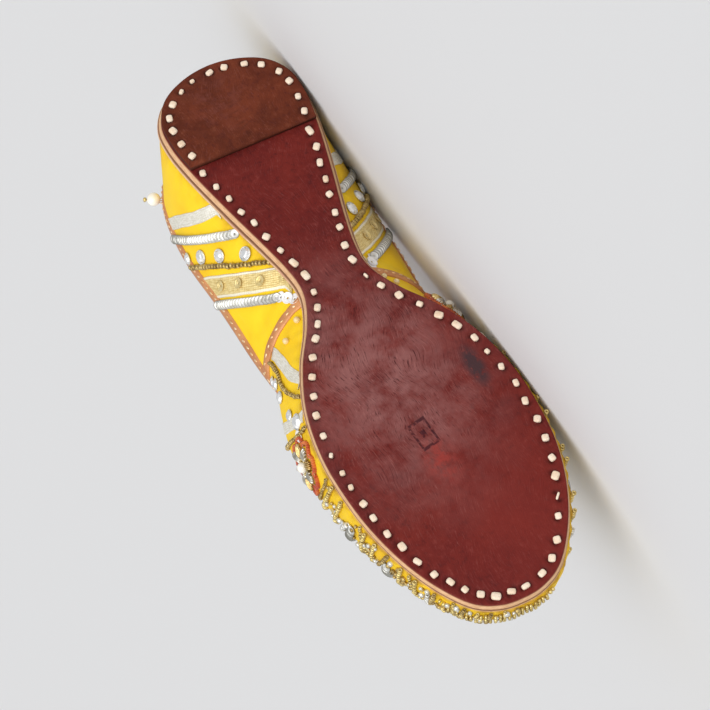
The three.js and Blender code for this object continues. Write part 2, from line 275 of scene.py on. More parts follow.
class Finish:
    """A finish in shader nodes. Its colour is laid on in coats, and where is the place on the
    standing shoe in centimetres, or another mark that the mesh keeps."""

    def __init__(self, name, where="last_place", **shader):
        self.material = bpy.data.materials.new(name)
        self.material.use_nodes = True
        self.shader = self.material.node_tree.nodes["Principled BSDF"]
        self.set(**shader)
        self.where = self.mark(where, "Vector")

    def set(self, **feeds):
        """Feeds the shader. A socket goes by its name, with _ for a space."""
        for socket, feed in feeds.items():
            self.join(feed, self.shader.inputs[socket.replace("_", " ")])

    def node(self, kind, settings=None, output=0, **feeds):
        """Adds a node, and gives its output. A feed is a number, a colour or another output."""
        made = self.material.node_tree.nodes.new("ShaderNode" + kind)
        for setting, value in (settings or {}).items():
            setattr(made, setting, value)
        for socket, feed in feeds.items():
            place = int(socket[1:]) if socket[0] == "i" and socket[1:].isdigit() else socket.replace("_", " ")
            self.join(feed, made.inputs[place])
        return made.outputs[output]

    def join(self, feed, socket):
        if isinstance(feed, bpy.types.NodeSocket):
            self.material.node_tree.links.new(feed, socket)
        else:
            socket.default_value = (*feed, 1) if socket.type == "RGBA" else feed

    def show(self, **feeds):
        """Ends the finish: its colour and the other feeds go to the shader."""
        self.set(Base_Color=self.colour, **feeds)

    def mark(self, name, output="Fac"):
        return self.node("Attribute", {"attribute_name": name}, output)

    def stretched(self, scale, turn=0, where=None):
        """The place turned in its own plane, in degrees, and stretched."""
        turned = (0, 0, math.radians(turn))
        return self.node("Mapping", Vector=where or self.where, Rotation=turned, Scale=scale)

    def noise(self, scale, detail=3.0, roughness=0.5, distortion=0.0, where=None):
        return self.node("TexNoise", None, "Fac", Vector=where or self.where, Scale=scale, Detail=detail,
                         Roughness=roughness, Distortion=distortion)

    def waves(self, way, scale, distortion, detail, where):
        return self.node("TexWave", {"bands_direction": way}, "Fac", Vector=where, Scale=scale,
                         Distortion=distortion, Detail=detail)

    def maths(self, operation, a, b=0.0, clamp=False, **third):
        return self.node("Math", {"operation": operation, "use_clamp": clamp}, i0=a, i1=b, **third)

    def times(self, a, b):
        return self.maths("MULTIPLY", a, b)

    def vector(self, operation, a, b=(0, 0, 0), output=0):
        return self.node("VectorMath", {"operation": operation}, output, i0=a, i1=b)

    def ramp(self, value, low, high):
        """0 up to low, 1 from high, and smooth between them."""
        smooth = {"interpolation_type": "SMOOTHSTEP"}
        return self.node("MapRange", smooth, Value=value, From_Min=low, From_Max=high)

    def patches(self, low, high, *noise):
        return self.ramp(self.noise(*noise), low, high)

    def tint(self, share, a, b):
        return self.node("Mix", {"data_type": "RGBA"}, 2, i0=share, i6=a, i7=b)

    def coat(self, share, colour, strength=None):
        """Lays another colour over what is there, by share."""
        share = share if strength is None else self.times(share, strength)
        self.colour = self.tint(share, self.colour, colour)

    def nearness(self, centre, reach):
        """1 at a point of the standing shoe, falling to 0 at reach on each axis."""
        offset = self.vector("DIVIDE", self.vector("SUBTRACT", self.where, centre), reach)
        return self.ramp(self.vector("LENGTH", offset, output="Value"), 1.0, 0.0)

    def relief(self, height, depth_mm, strength=1.0, **over):
        return self.node("Bump", Height=height, Distance=depth_mm / 1000, Strength=strength, **over)


DARK_DYE = (0.045, 0.008, 0.009)
EDGE_DARK_BROWN = (0.22, 0.09, 0.04)


def dyed_hide(name, deep, mid, pale, sheen_share):
    """Oxblood dyed hide: cloudy dye, a pale painted sheen where soft light is reflected, fine fibre
    strokes that lie in changing directions, and pores."""
    hide = Finish(name, Roughness=0.55, Specular_IOR_Level=0.10)
    drift = hide.node("VectorMath", {"operation": "SCALE"}, Scale=1.5, i0=hide.node(
        "TexNoise", None, "Color", Vector=hide.where, Scale=0.45, Detail=1.0))
    drifting = hide.vector("ADD", hide.where, drift)
    lays = [hide.noise(1.0, 4.0, 0.62, 0.3, where=hide.stretched((4.6, 42, 3), turn, drifting))
            for turn in (24, -38)]
    hide.strokes = hide.node("Mix", {"data_type": "FLOAT"}, i0=hide.patches(0.42, 0.58, 0.55, 2.0),
                             i2=lays[0], i3=lays[1])
    hide.pores = hide.noise(22, 5.0, 0.7)
    hide.colour = hide.tint(hide.patches(0.3, 0.7, 0.9, 5.0, 0.62), deep, mid)
    mottle = hide.noise(4.6, 6.0, 0.72)
    hide.coat(hide.ramp(mottle, 0.50, 0.28), DARK_DYE, 0.5)
    hide.coat(hide.ramp(mottle, 0.52, 0.74), pale, 0.4)
    # Painted sheen: a pale mauve patch on the forefoot, where soft light is reflected
    painted_sheen = hide.times(hide.nearness((10.2, 0.30, 0), (5.4, 3.3, 3)), hide.patches(0.25, 0.68, 1.3, 4.0, 0.6))
    hide.coat(painted_sheen, (0.28, 0.112, 0.104), sheen_share)
    # Fibre strokes, light and dark, show at a low share everywhere and stronger in the painted sheen, where
    # the light strokes are painted highlight
    stroke_share_in_sheen = hide.maths("MULTIPLY_ADD", hide.nearness((9.6, 0.5, 0), (5.8, 3.6, 3)), sheen_share, i2=0.35)
    hide.coat(hide.times(hide.ramp(hide.strokes, 0.54, 0.72), stroke_share_in_sheen), (0.36, 0.14, 0.125), 0.55)
    hide.coat(hide.times(hide.ramp(hide.strokes, 0.47, 0.32), stroke_share_in_sheen), DARK_DYE, 0.7)
    return hide


hide = dyed_hide("outsole_hide", (0.125, 0.013, 0.011), (0.165, 0.018, 0.013), (0.27, 0.055, 0.045), 1.0)
red_rub = hide.times(hide.nearness((12.8, 0.15, 0), (0.95, 0.62, 2)),
                     hide.patches(0.36, 0.62, 4.5, 5.0, 0.65))
hide.coat(red_rub, (0.33, 0.045, 0.035), 0.9)
smudge = hide.times(hide.nearness((10.85, -1.74, 0), (0.95, 0.34, 2)),
                    hide.patches(0.28, 0.52, 5.0, 5.0, 0.65))
hide.coat(hide.maths("MULTIPLY", smudge, 1.5, clamp=True), (0.062, 0.030, 0.033))
hide.coat(hide.nearness((14.6, -0.9, 0.3), (3.2, 2.6, 3)), (0.20, 0.024, 0.018), 0.5)


def lozenge_ring(finish, inner, outer):
    """1 on the outline of a lozenge drawn on the sole, between two shares of its reach."""
    moved = finish.vector("SUBTRACT", finish.where, (11.97, 0.19, 0))
    turned = finish.stretched((1 / 0.56, 1 / 0.34, 1), 52, moved)
    across = finish.node("SeparateXYZ", Vector=turned).node.outputs
    far = finish.maths("ADD", finish.maths("ABSOLUTE", across["X"]), finish.maths("ABSOLUTE", across["Y"]))
    return finish.times(finish.ramp(far, inner - 0.1, inner), finish.ramp(far, outer + 0.1, outer))


# The maker's plain tool mark: a thin lozenge with a dot in it, pressed in by hand
tool_mark = hide.maths("ADD", lozenge_ring(hide, 0.84, 0.95), lozenge_ring(hide, 0.0, 0.20), clamp=True)
tool_mark = hide.times(tool_mark, hide.patches(0.34, 0.56, 8.0, 3.0))
hide.coat(tool_mark, (0.04, 0.007, 0.013), 0.8)
# Painted shade: near black in the punched holes at the ends of the stitches
hide.coat(hide.mark("punched"), (0.012, 0.004, 0.004))
edge_grain = hide.noise(1.0, 4.0, 0.6, where=hide.stretched((6, 6, 40)))
edge_tan = hide.tint(hide.ramp(edge_grain, 0.35, 0.75), (0.74, 0.47, 0.27), (0.55, 0.30, 0.15))
edge_tan = hide.tint(hide.mark("edge_darkening"), edge_tan, EDGE_DARK_BROWN)
hide.coat(hide.mark("cut_edge"), edge_tan)
grain = hide.relief(hide.strokes, 0.14, 0.6, Normal=hide.relief(hide.pores, 0.08, 0.6))
hide.show(Roughness=hide.maths("MULTIPLY_ADD", hide.pores, 0.22, i2=0.40),
          Normal=hide.relief(hide.maths("SUBTRACT", 1.0, tool_mark), 0.25, 0.8, Normal=grain))

# The punched stitches: each takes up some of the rim, and has its own length, width and slant.
STITCH_STOPS = [
    # number of the stitch from the heel, and its share of the way round the rim
    (0, -0.0106), (18, 0.2162), (21, 0.2506), (28, 0.3525), (35, 0.4416), (41, 0.5050), (48, 0.5985),
    (59, 0.7555), (70, 0.8957), (77, 0.9894),
]
STITCH_INSET = 2.1
ODD_STITCHES = {
    # number from the heel, and how it differs: share of the length and of the width
    2: (0.7, 0.5), 3: (0.7, 0.7), 16: (1.25, 1.1), 17: (1.3, 1.15), 27: (0.8, 0.6), 28: (0.8, 0.75),
    29: (0.9, 0.7), 33: (1.2, 1.1), 37: (0.9, 1.1), 39: (1.25, 1.1), 41: (1.1, 0.8), 46: (1.1, 0.4),
    47: (1.2, 1.1), 54: (0.7, 0.7), 56: (1.2, 1.15), 57: (1.2, 1.2), 61: (0.8, 0.45), 62: (1.25, 1.0),
    70: (1.6, 1.2),
}


def lay_out_stitches():
    """Each stitch's distance round the rim, inset, length, width and slant."""
    chance = np.random.default_rng(11)
    numbers, shares = np.array(STITCH_STOPS).T
    rows = []
    for number in range(1, int(numbers[-1]) + 1):
        longer, wider = ODD_STITCHES.get(number, (1, 1))
        rows.append((np.interp(number, numbers, shares) * 2 * HALF_ROUND + chance.uniform(-0.35, 0.35),
                     STITCH_INSET + chance.uniform(-0.3, 0.3), 1.95 * longer * chance.uniform(0.84, 1.14),
                     1.62 * wider * chance.uniform(0.84, 1.14), math.radians(chance.uniform(-28, 28))))
    return rows


stitches = lay_out_stitches()


def round_rim(walked):
    """Places on the rim and the ways out of it, by the distance round the tread from the heel."""
    walked = np.asarray(walked, float)
    at = 1 - np.abs(1 - walked / HALF_ROUND)
    side = np.stack([np.ones_like(walked), np.where(walked <= HALF_ROUND, 1.0, -1.0)], axis=-1)
    return on_tread(at) * side, outward(at) * side


def punch_dents_and_hole_shade(walked, inset):
    """How far each place of the rim is sunk by the stitches, in millimetres, and how much painted
    shade darkens it in the punched holes."""
    sunk, dark = np.zeros(len(walked)), np.zeros(len(walked))
    for stitch_walked, stitch_inset, long, wide, slant in stitches:
        along = (walked - stitch_walked + HALF_ROUND) % (2 * HALF_ROUND) - HALF_ROUND
        across = inset - stitch_inset
        turned = along * math.cos(slant) + across * math.sin(slant)
        crossed = -along * math.sin(slant) + across * math.cos(slant)
        bed = (turned / (long * 0.72)) ** 2 + (crossed / (wide * 0.78)) ** 2
        sunk += 0.34 * np.exp(-(bed**2))
        for end in (-1, 1):
            hole = np.exp(-((turned - end * long * 0.56) ** 2 + (crossed * 0.62) ** 2) / 0.30)
            sunk += 0.32 * hole
            # Painted shade in the punched hole
            dark += 0.6 * hole
    return sunk, np.clip(dark, 0, 1)


RIM_STEPS = 1080
FACE_INSETS = [0.12, 0.4, 0.75, 1.1, 1.4, 1.7, 2.0, 2.3, 2.6, 2.9, 3.25, 3.65, 4.2, 5.0]
FACE_RINGS = 9
HEEL_SPINE, TOE_SPINE = 15.0, 140.0
PARED_FROM, PARED_TO = 78.0, 112.0
OUTSOLE_EDGE = [
    # how far out of the tread, how high, how much of the dye is gone, how dark brown the edge is
    (0.02, 0.06, 0.0, 0.0), (0.16, 0.20, 0.15, 0.5), (0.26, 0.42, 1.0, 0.25), (0.42, 0.75, 1.0, 0.0),
    (0.62, 1.15, 1.0, 0.0), (0.80, 1.50, 1.0, 0.1), (0.86, 1.70, 1.0, 0.8), (0.70, 1.80, 1.0, 1.0),
]
walked = np.arange(RIM_STEPS) * 2 * HALF_ROUND / RIM_STEPS
rim_xy, rim_out = round_rim(walked)
spine_xy = np.stack([np.clip(rim_xy[:, 0], HEEL_SPINE, TOE_SPINE), np.zeros(RIM_STEPS)], axis=1)
# From the ball on, the edge is pared thinner and the dye runs over it
pared = eased(rim_xy[:, 0], PARED_FROM, PARED_TO)


def hand_waver(flat, share=1.0):
    """The slight unevenness of hide cut and beaten by hand, in millimetres."""
    x, y = flat.T
    return share * (0.10 * np.sin(x / 9.0 + 1.3) * np.cos(y / 7.0) + 0.05 * np.sin(x / 3.7 + y / 4.1))


def walking_face(rim, out, spine, walked):
    """Rows of the face from the spine to the rim: place, how far it is sunk, how much painted hole shade it
    has.
    """
    inner = rim - out * FACE_INSETS[-1]
    rows = [(spine + (inner - spine) * (1 - share), 0.0, 0.0)
            for share in np.linspace(1, 0, FACE_RINGS, endpoint=False)]
    return rows + [(rim - out * inset, *punch_dents_and_hole_shade(walked, inset)) for inset in FACE_INSETS[::-1]]


def standing(flat, up):
    """Corners over the tread from level places, raised by up."""
    return np.column_stack([flat, tread_height(flat[:, 0]) + up])


rows = [(standing(flat, hand_waver(flat) + sunk), dark, 0.0, 0.0)
        for flat, sunk, dark in walking_face(rim_xy, rim_out, spine_xy, walked)]
for out, up, undyed, browned in OUTSOLE_EDGE:
    flat = rim_xy + rim_out * ((out + 0.07 * np.sin(walked / 11.0)) * (1 - 0.35 * pared))[:, None]
    rows.append((np.column_stack([flat, tread_height(rim_xy[:, 0]) + up]), 0.0,
                 undyed * (1 - pared * (0.9 if up < 0.5 else 0.0)), browned))
for flat in (rim_xy - rim_out * 3.0, rim_xy - rim_out * 8.0, spine_xy):
    rows.append((standing(flat, OUTSOLE_THICKNESS), 0.0, 1.0, 0.0))
sole_layer("outsole_leather", rows, quads(len(rows), RIM_STEPS), hide, "sole_leather", "outsole",
           "punched", "cut_edge", "edge_darkening")


# ------------------------------------------------------------------ heel pad
# A second lift of browner hide under the heel, stitched through with the sole. Its back follows
# the sole's edge and its front is cut straight across and pared thin.

PAD_EDGE = [
    # how far out of the tread, height over the floor plane
    (-0.10, 0.03), (0.05, 0.14), (0.12, 0.40), (0.10, 0.90), (0.02, 1.50),
]
hide = dyed_hide("pad_hide", (0.088, 0.017, 0.007), (0.158, 0.032, 0.013), (0.24, 0.07, 0.035), 0.0)
worn = hide.times(hide.nearness((1.1, 0.3, 0), (1.5, 1.3, 2)), hide.patches(0.4, 0.7, 2.6, 5.0, 0.66))
hide.coat(worn, (0.2, 0.055, 0.04), 0.55)
# Painted shade: near black in the punched holes at the ends of the stitches
hide.coat(hide.mark("punched"), (0.012, 0.005, 0.004))
# Painted shade: the pad's cut edge is dark brown all round, standing in for the shadow line at its front edge
hide.coat(hide.mark("cut_edge"), (0.07, 0.02, 0.012))
hide.show(Normal=hide.relief(hide.strokes, 0.12, 0.5, Normal=hide.relief(hide.pores, 0.08, 0.7)))

by_heel = np.flatnonzero(rim_xy[:, 0] < HEEL_LIFT_LENGTH - 0.2)
pad_columns = np.concatenate([by_heel[by_heel > RIM_STEPS / 2], by_heel[by_heel <= RIM_STEPS / 2]])
pad_rim, pad_out = rim_xy[pad_columns], rim_out[pad_columns]
pad_spine = np.stack([np.clip(pad_rim[:, 0], 13.0, HEEL_LIFT_LENGTH), np.zeros(len(pad_columns))], axis=1)


def pad_row(flat, height):
    """One row of the pad's corners, cut off at the pad's front and drawn to it at both ends."""
    front = HEEL_LIFT_LENGTH + 0.10 * np.sin(flat[:, 1] / 2.9)
    placed = flat.copy()
    placed[:, 0] = np.minimum(placed[:, 0], front)
    placed[[0, -1], 0] = front[[0, -1]]
    return np.column_stack([placed, np.broadcast_to(height, len(placed))])


rows = []
for flat, sunk, dark in walking_face(pad_rim, pad_out, pad_spine, walked[pad_columns]):
    near_front = np.exp(-((HEEL_LIFT_LENGTH - flat[:, 0]) / 0.9) ** 2)
    rows.append((pad_row(flat, 0.02 + sunk + hand_waver(flat, 0.5) + 0.16 * near_front), dark, 0.0))
rows += [(pad_row(pad_rim + pad_out * out, up), 0.0, min(1.0, 2.0 * up)) for out, up in PAD_EDGE]
rows.append((pad_row(pad_spine, HEEL_LIFT_THICKNESS), 0.0, 1.0))
count = len(pad_columns)
faces = quads(len(rows), count, round_rows=True, round_columns=False)
faces.append([row * count for row in range(len(rows))])
faces.append([row * count + count - 1 for row in range(len(rows) - 1, -1, -1)])
sole_layer("heel_pad", rows, faces, hide, "heel_leather", "heel_lift", "punched", "cut_edge")


# ------------------------------------------------------------------ midsole
# A thinner layer of undyed hide between sole and upper. Only its pale cut edge shows, a little
# proud of the outsole, with a dark brown line above and below it.

MIDSOLE_THICKNESS = 1.1
MIDSOLE_BASE = OUTSOLE_THICKNESS + FIT_GAP
MIDSOLE_EDGE = [
    # how far out of the tread, height in the layer, how dark brown
    (0.60, -0.10, 1.0), (1.12, 0.00, 0.9), (1.28, 0.16, 0.15), (1.34, 0.42, 0.0), (1.34, 0.72, 0.0),
    (1.26, 0.98, 0.1), (1.05, 1.10, 0.8), (0.50, 1.16, 1.0),
]
hide = Finish("edge_hide", Roughness=0.6, Specular_IOR_Level=0.35)
streaks = hide.noise(1.0, 4.0, 0.6, where=hide.stretched((5, 5, 46)))
hide.colour = hide.tint(hide.ramp(streaks, 0.3, 0.8), (0.82, 0.55, 0.34), (0.62, 0.36, 0.19))
hide.coat(hide.patches(0.5, 0.75, 1.4, 3.0), (0.66, 0.34, 0.24))
hide.coat(hide.mark("edge_darkening"), EDGE_DARK_BROWN)
hide.show(Normal=hide.relief(streaks, 0.1, 0.6))

rows = [(standing(spine_xy, MIDSOLE_BASE), 0.0)]
for out, up, browned in MIDSOLE_EDGE:
    flat = rim_xy + rim_out * (out * (1 - 0.55 * pared))[:, None]
    rows.append((np.column_stack([flat, tread_height(rim_xy[:, 0]) + MIDSOLE_BASE + up]), browned))
rows.append((standing(spine_xy, MIDSOLE_BASE + MIDSOLE_EDGE[-1][1]), 0.0))
sole_layer("midsole_edge", rows, quads(len(rows), RIM_STEPS), hide, "edge_leather", "midsole", "edge_darkening")


# ------------------------------------------------------------------ insole
# The sock inside the shoe: soft pale hide pasted over the seam, a little fuller in the middle,
# with its edge turned down against the upper.

INSOLE_EDGE_IN = 2.3
UPPER_BASE = MIDSOLE_BASE + MIDSOLE_THICKNESS + FIT_GAP
hide = Finish("sock_hide", Roughness=0.62, Specular_IOR_Level=0.3, Sheen_Weight=0.12)
hide.colour = hide.tint(hide.patches(0.3, 0.7, 0.7, 4.0, 0.6), (0.60, 0.38, 0.19), (0.68, 0.46, 0.25))
pebble_edge = hide.node("TexVoronoi", {"feature": "DISTANCE_TO_EDGE"}, Vector=hide.where, Scale=16.0)
pebbles = hide.ramp(pebble_edge, 0.0, 0.12)
hide.coat(hide.maths("MULTIPLY_ADD", pebbles, -0.25, i2=0.25), (0.40, 0.22, 0.10))
hide.show(Normal=hide.relief(pebbles, 0.10, 0.6))

rows = [(standing(spine_xy, UPPER_BASE),)]
for inset, up in ((-0.3, 0.0), (0.0, 0.25), (0.05, 0.8), (0.35, 1.15), (0.9, 1.32), (2.2, 1.40)):
    flat = rim_xy - rim_out * (INSOLE_EDGE_IN + inset)
    rows.append((np.column_stack([flat, tread_height(rim_xy[:, 0]) + UPPER_BASE + up]),))
for share in (0.2, 0.45, 0.7, 1.0):
    rows.append((standing(flat + (spine_xy - flat) * share, UPPER_BASE + 1.40 + 0.12 * share),))
sole_layer("insole_sock", rows, quads(len(rows), RIM_STEPS), hide, "sock_leather", "insole")


# ------------------------------------------------------------------ upper
# Yellow silk pasted on cotton and thin hide, and lined. Vamp and quarters are lasted over the
# sole's edge, where the cloth is pulled into small pleats by the stitching below it.

INSTEP_HEIGHT = 37.0
UPPER_WALL = 2.2
UPPER_FOOT_OUT = 0.8
THROAT_AT = 0.60
RIB_COLUMNS = ("at", "along", "half", "rise", "foot_lean", "foot_pull", "top_lean", "top_pull")
UPPER_RIBS = [
    (0.000, 0.004, 0.000, 0.92, 4, 0.33, 4, 0.33),
    (0.070, 0.021, 0.510, 0.89, 6, 0.33, 2, 0.33),
    (0.150, 0.094, 0.820, 0.78, 12, 0.33, -2, 0.33),
    (0.200, 0.155, 0.895, 0.73, 24, 0.33, -4, 0.33),
    (0.250, 0.218, 0.922, 0.68, 36, 0.33, -6, 0.33),
    (0.330, 0.309, 0.895, 0.63, 48, 0.33, -8, 0.33),
    (0.400, 0.391, 0.883, 0.60, 54, 0.33, -8, 0.33),
    (0.455, 0.461, 0.855, 0.60, 54, 0.40, 4, 0.34),
    (0.500, 0.518, 0.766, 0.66, 48, 0.50, 42, 0.48),
    (0.540, 0.568, 0.540, 0.80, 38, 0.55, 62, 0.56),
    (0.575, 0.599, 0.270, 0.93, 30, 0.54, 76, 0.58),
    (0.600, 0.611, 0.000, 1.00, 25, 0.52, 90, 0.58),
    (0.650, 0.670, 0.000, 0.92, 15, 0.48, 90, 0.57),
    (0.720, 0.742, 0.000, 0.82, 9, 0.44, 90, 0.56),
    (0.820, 0.848, 0.000, 0.67, 4, 0.38, 90, 0.54),
    (0.910, 0.918, 0.000, 0.56, 2, 0.38, 90, 0.50),
    (1.000, 0.958, 0.000, 0.49, 2, 0.42, 90, 0.45),
]


def rib_values(column, at):
    """A column of the ribs' table as a smooth curve over at, without overshoot."""
    table = np.array(UPPER_RIBS, float)
    x, y = table[:, 0], table[:, RIB_COLUMNS.index(column)]
    slope = np.diff(y) / np.diff(x)
    both, rise = slope[:-1] + slope[1:], slope[:-1] * slope[1:]
    inner = np.where(rise > 0, 2 * rise / np.where(both == 0, 1, both), 0)
    tangent = np.concatenate([[slope[0]], inner, [slope[-1]]])
    i = np.clip(np.searchsorted(x, at, side="left") - 1, 0, len(x) - 2)
    span = x[i + 1] - x[i]
    t = np.clip((at - x[i]) / span, 0, 1)
    return ((2 * t**3 - 3 * t**2 + 1) * y[i] + (t**3 - 2 * t**2 + t) * span * tangent[i]
            + (3 * t**2 - 2 * t**3) * y[i + 1] + (t**3 - t**2) * span * tangent[i + 1])


def rib_tops(at):
    """Ends of the ribs, on the collar or on the ridge over the toes."""
    along, half, rise = (rib_values(column, at) for column in ("along", "half", "rise"))
    half = np.where(at >= THROAT_AT, 0, half * BALL_HALF_WIDTH)
    return np.stack([along * SOLE_LENGTH, half, rise * INSTEP_HEIGHT], axis=-1)


SKIN_ROUND, SKIN_UP = 240, 36
THROAT_RIB = round(THROAT_AT * SKIN_ROUND)
skin_ats = np.linspace(0, 1, SKIN_ROUND + 1)


def left_skin(at):
    """The outer face of the left half as a grid of points, ribs by steps up."""
    out = outward(at)
    tread = on_tread(at)
    feet = np.column_stack([tread + out * UPPER_FOOT_OUT, tread_height(tread[:, 0]) + UPPER_BASE])
    tops = rib_tops(at)
    chord = np.linalg.norm(tops - feet, axis=1)
    foot_lean, top_lean = np.radians(rib_values("foot_lean", at)), np.radians(rib_values("top_lean", at))
    before, after = rib_tops(np.maximum(at - 0.01, THROAT_AT)), rib_tops(np.minimum(at + 0.01, 1))
    run = after[:, 0] - before[:, 0]
    ridge_slope = np.where(at < THROAT_AT, 0, (after[:, 2] - before[:, 2]) / np.where(run == 0, 1, run))
    foot_handle = np.column_stack([out * np.sin(foot_lean)[:, None], np.cos(foot_lean)])
    # Round the throat the cloth comes over sideways, so that it does not double back on the collar
    sideways = unit(out * np.column_stack([1 - np.exp(-(((at - THROAT_AT) / 0.07) ** 4)), np.ones_like(at)]))
    top_handle = np.column_stack([sideways * np.sin(top_lean)[:, None],
                                  sideways[:, 0] * np.sin(top_lean) * ridge_slope - np.cos(top_lean)])
    low = feet + foot_handle * (chord * rib_values("foot_pull", at))[:, None]
    high = tops + top_handle * (chord * rib_values("top_pull", at))[:, None]
    t = np.linspace(0, 1, SKIN_UP + 1)[None, :, None]
    grid = (feet[:, None] * (1 - t) ** 3 + 3 * low[:, None] * t * (1 - t) ** 2
            + 3 * high[:, None] * t**2 * (1 - t) + tops[:, None] * t**3)
    grid[[0, -1], :, 1] = 0
    return grid


def skin_normals(grid):
    """Outward directions on the left grid. Past the heel, the toe and the ridge it goes on as its
    own mirror image."""
    mirror = np.array([1, -1, 1])
    round_more = np.concatenate([grid[1:2] * mirror, grid, grid[-2:-1] * mirror])
    beyond = 2 * grid[:, -1:] - grid[:, -2:-1]
    beyond[THROAT_RIB:] = grid[THROAT_RIB:, -2:-1] * mirror
    up_more = np.concatenate([2 * grid[:, :1] - grid[:, 1:2], grid, beyond], axis=1)
    normal = np.cross(up_more[:, 2:] - up_more[:, :-2], round_more[2:] - round_more[:-2])
    normal[-1, -1] = normal[-1, -2]
    return unit(normal)


CREASES = [
    # side (1 left, -1 right), where the crease begins and ends as shares round the sole and up
    # the wall, and its depth and half width in millimetres
    (1, 0.385, 0.10, 0.410, 0.62, 0.40, 2.6), (1, 0.330, 0.05, 0.352, 0.40, 0.22, 2.2),
    (1, 0.110, 0.20, 0.120, 0.80, 0.25, 3.0), (1, 0.560, 0.35, 0.640, 0.80, 0.35, 2.8),
    (-1, 0.392, 0.08, 0.415, 0.60, 0.42, 2.6), (-1, 0.140, 0.15, 0.150, 0.70, 0.25, 3.0),
    (-1, 0.575, 0.30, 0.650, 0.75, 0.32, 2.8), (-1, 0.305, 0.06, 0.330, 0.45, 0.24, 2.2),
]
PLEAT_PITCH, PLEAT_DEPTH, PLEAT_REACH = 3.9, 0.20, 3.2


def cloth_relief(side, height):
    """How far the cloth stands out of the last's own shape, in millimetres, on a half's grid."""
    around = skin_ats[:, None] * HALF_ROUND
    pleats = np.cos(2 * math.pi * around / PLEAT_PITCH + 1.6 * np.sin(around / 7.3 + side))
    stand = PLEAT_DEPTH * pleats * np.exp(-height / PLEAT_REACH)
    stand = stand - 0.12 * np.exp(-(((height - 1.2) / 1.0) ** 2))
    for at_a, up_a, at_b, up_b, depth, half_width in (row[1:] for row in CREASES if row[0] == side):
        tall = height[round((at_a + at_b) / 2 * SKIN_ROUND), -1]
        start, end = np.array([at_a * HALF_ROUND, up_a * tall]), np.array([at_b * HALF_ROUND, up_b * tall])
        run = end - start
        spot = np.stack([np.broadcast_to(around, height.shape), height], axis=-1) - start
        share = np.clip((spot @ run) / (run @ run), 0, 1)
        away = np.linalg.norm(spot - share[..., None] * run, axis=2) / half_width
        stand = stand - depth * (1 - 0.8 * away**2) * np.exp(-(away**2))
    return stand


def close_middle(grid):
    """Brings a half's heel, toe and ridge onto the shoe's middle plane."""
    grid[[0, -1], :, 1] = 0
    grid[THROAT_RIB:, -1, 1] = 0
    return grid


plain_grid = left_skin(skin_ats)
# From the ball on the cloth is pulled right down over the midsole, to the sole's own edge
climbed = np.linalg.norm(plain_grid - plain_grid[:, :1], axis=2)
tucked = eased(on_tread(skin_ats)[:, 0], PARED_FROM, PARED_TO)[:, None] * np.exp(-climbed / 1.5)
plain_grid[..., 2] -= 1.15 * tucked
plain_grid[..., :2] += outward(skin_ats)[:, None] * 0.25 * tucked[..., None]
plain_normals = skin_normals(plain_grid)
wall_inner = plain_grid - plain_normals * UPPER_WALL
wall_inner[:, 0] = plain_grid[:, 0] - unit(plain_normals[:, 0] * (1, 1, 0)) * UPPER_WALL
close_middle(wall_inner)
skin_height = np.stack([walked_along(rib) for rib in plain_grid])

skins, linings = {}, {}
for side in (1, -1):
    stand = cloth_relief(side, skin_height)
    skins[side] = close_middle((plain_grid + plain_normals * stand[..., None]) * (1, side, 1))
    linings[side] = wall_inner * (1, side, 1)

LINING_TAN = (0.62, 0.40, 0.20)
silk = Finish("yellow_silk", Roughness=0.55, Specular_IOR_Level=0.18, Sheen_Weight=0.08, Sheen_Roughness=0.4,
              Sheen_Tint=(1.0, 0.86, 0.42))
thread_place = silk.mark("weave_place", "Vector")
warp, weft = (silk.waves(way, 1.15, 0.6, 1.0, thread_place) for way in "XY")
weave = silk.maths("MULTIPLY_ADD", warp, 0.5, i2=silk.times(weft, 0.5))
slubs = silk.noise(1.0, 3.0, 0.6, where=silk.stretched((0.09, 1.6, 1), where=thread_place))
silk.colour = silk.tint(silk.patches(0.3, 0.7, 1.1, 4.0, 0.6), LINING_TAN, (0.70, 0.48, 0.26))
silk.coat(silk.ramp(weave, 0.5, 0.2), (0.36, 0.2, 0.09), 0.35)
lining_cloth = silk.colour
# Darker orange clouds at random over the silk: tone that varies, and painted shade for the soft shading of
# the cloth
silk.colour = silk.tint(silk.patches(0.38, 0.72, 0.8, 3.0, 0.55), (0.95, 0.65, 0.016), (0.86, 0.52, 0.012))
silk.coat(silk.ramp(slubs, 0.55, 0.8), (1.0, 0.68, 0.10), 0.35)
silk.coat(silk.ramp(weave, 0.55, 0.15), (0.80, 0.40, 0.015), 0.30)
# Darker brown in patches along the foot of the cloth, next to the sole
darker_by_sole = silk.times(silk.mark("near_sole"), silk.patches(0.25, 0.7, 3.0, 4.0, 0.6))
silk.coat(darker_by_sole, (0.30, 0.13, 0.02), 0.75)
silk.coat(silk.mark("lining"), lining_cloth)
silk.show(Normal=silk.relief(weave, 0.05, 0.55, Normal=silk.relief(slubs, 0.06, 0.35)))

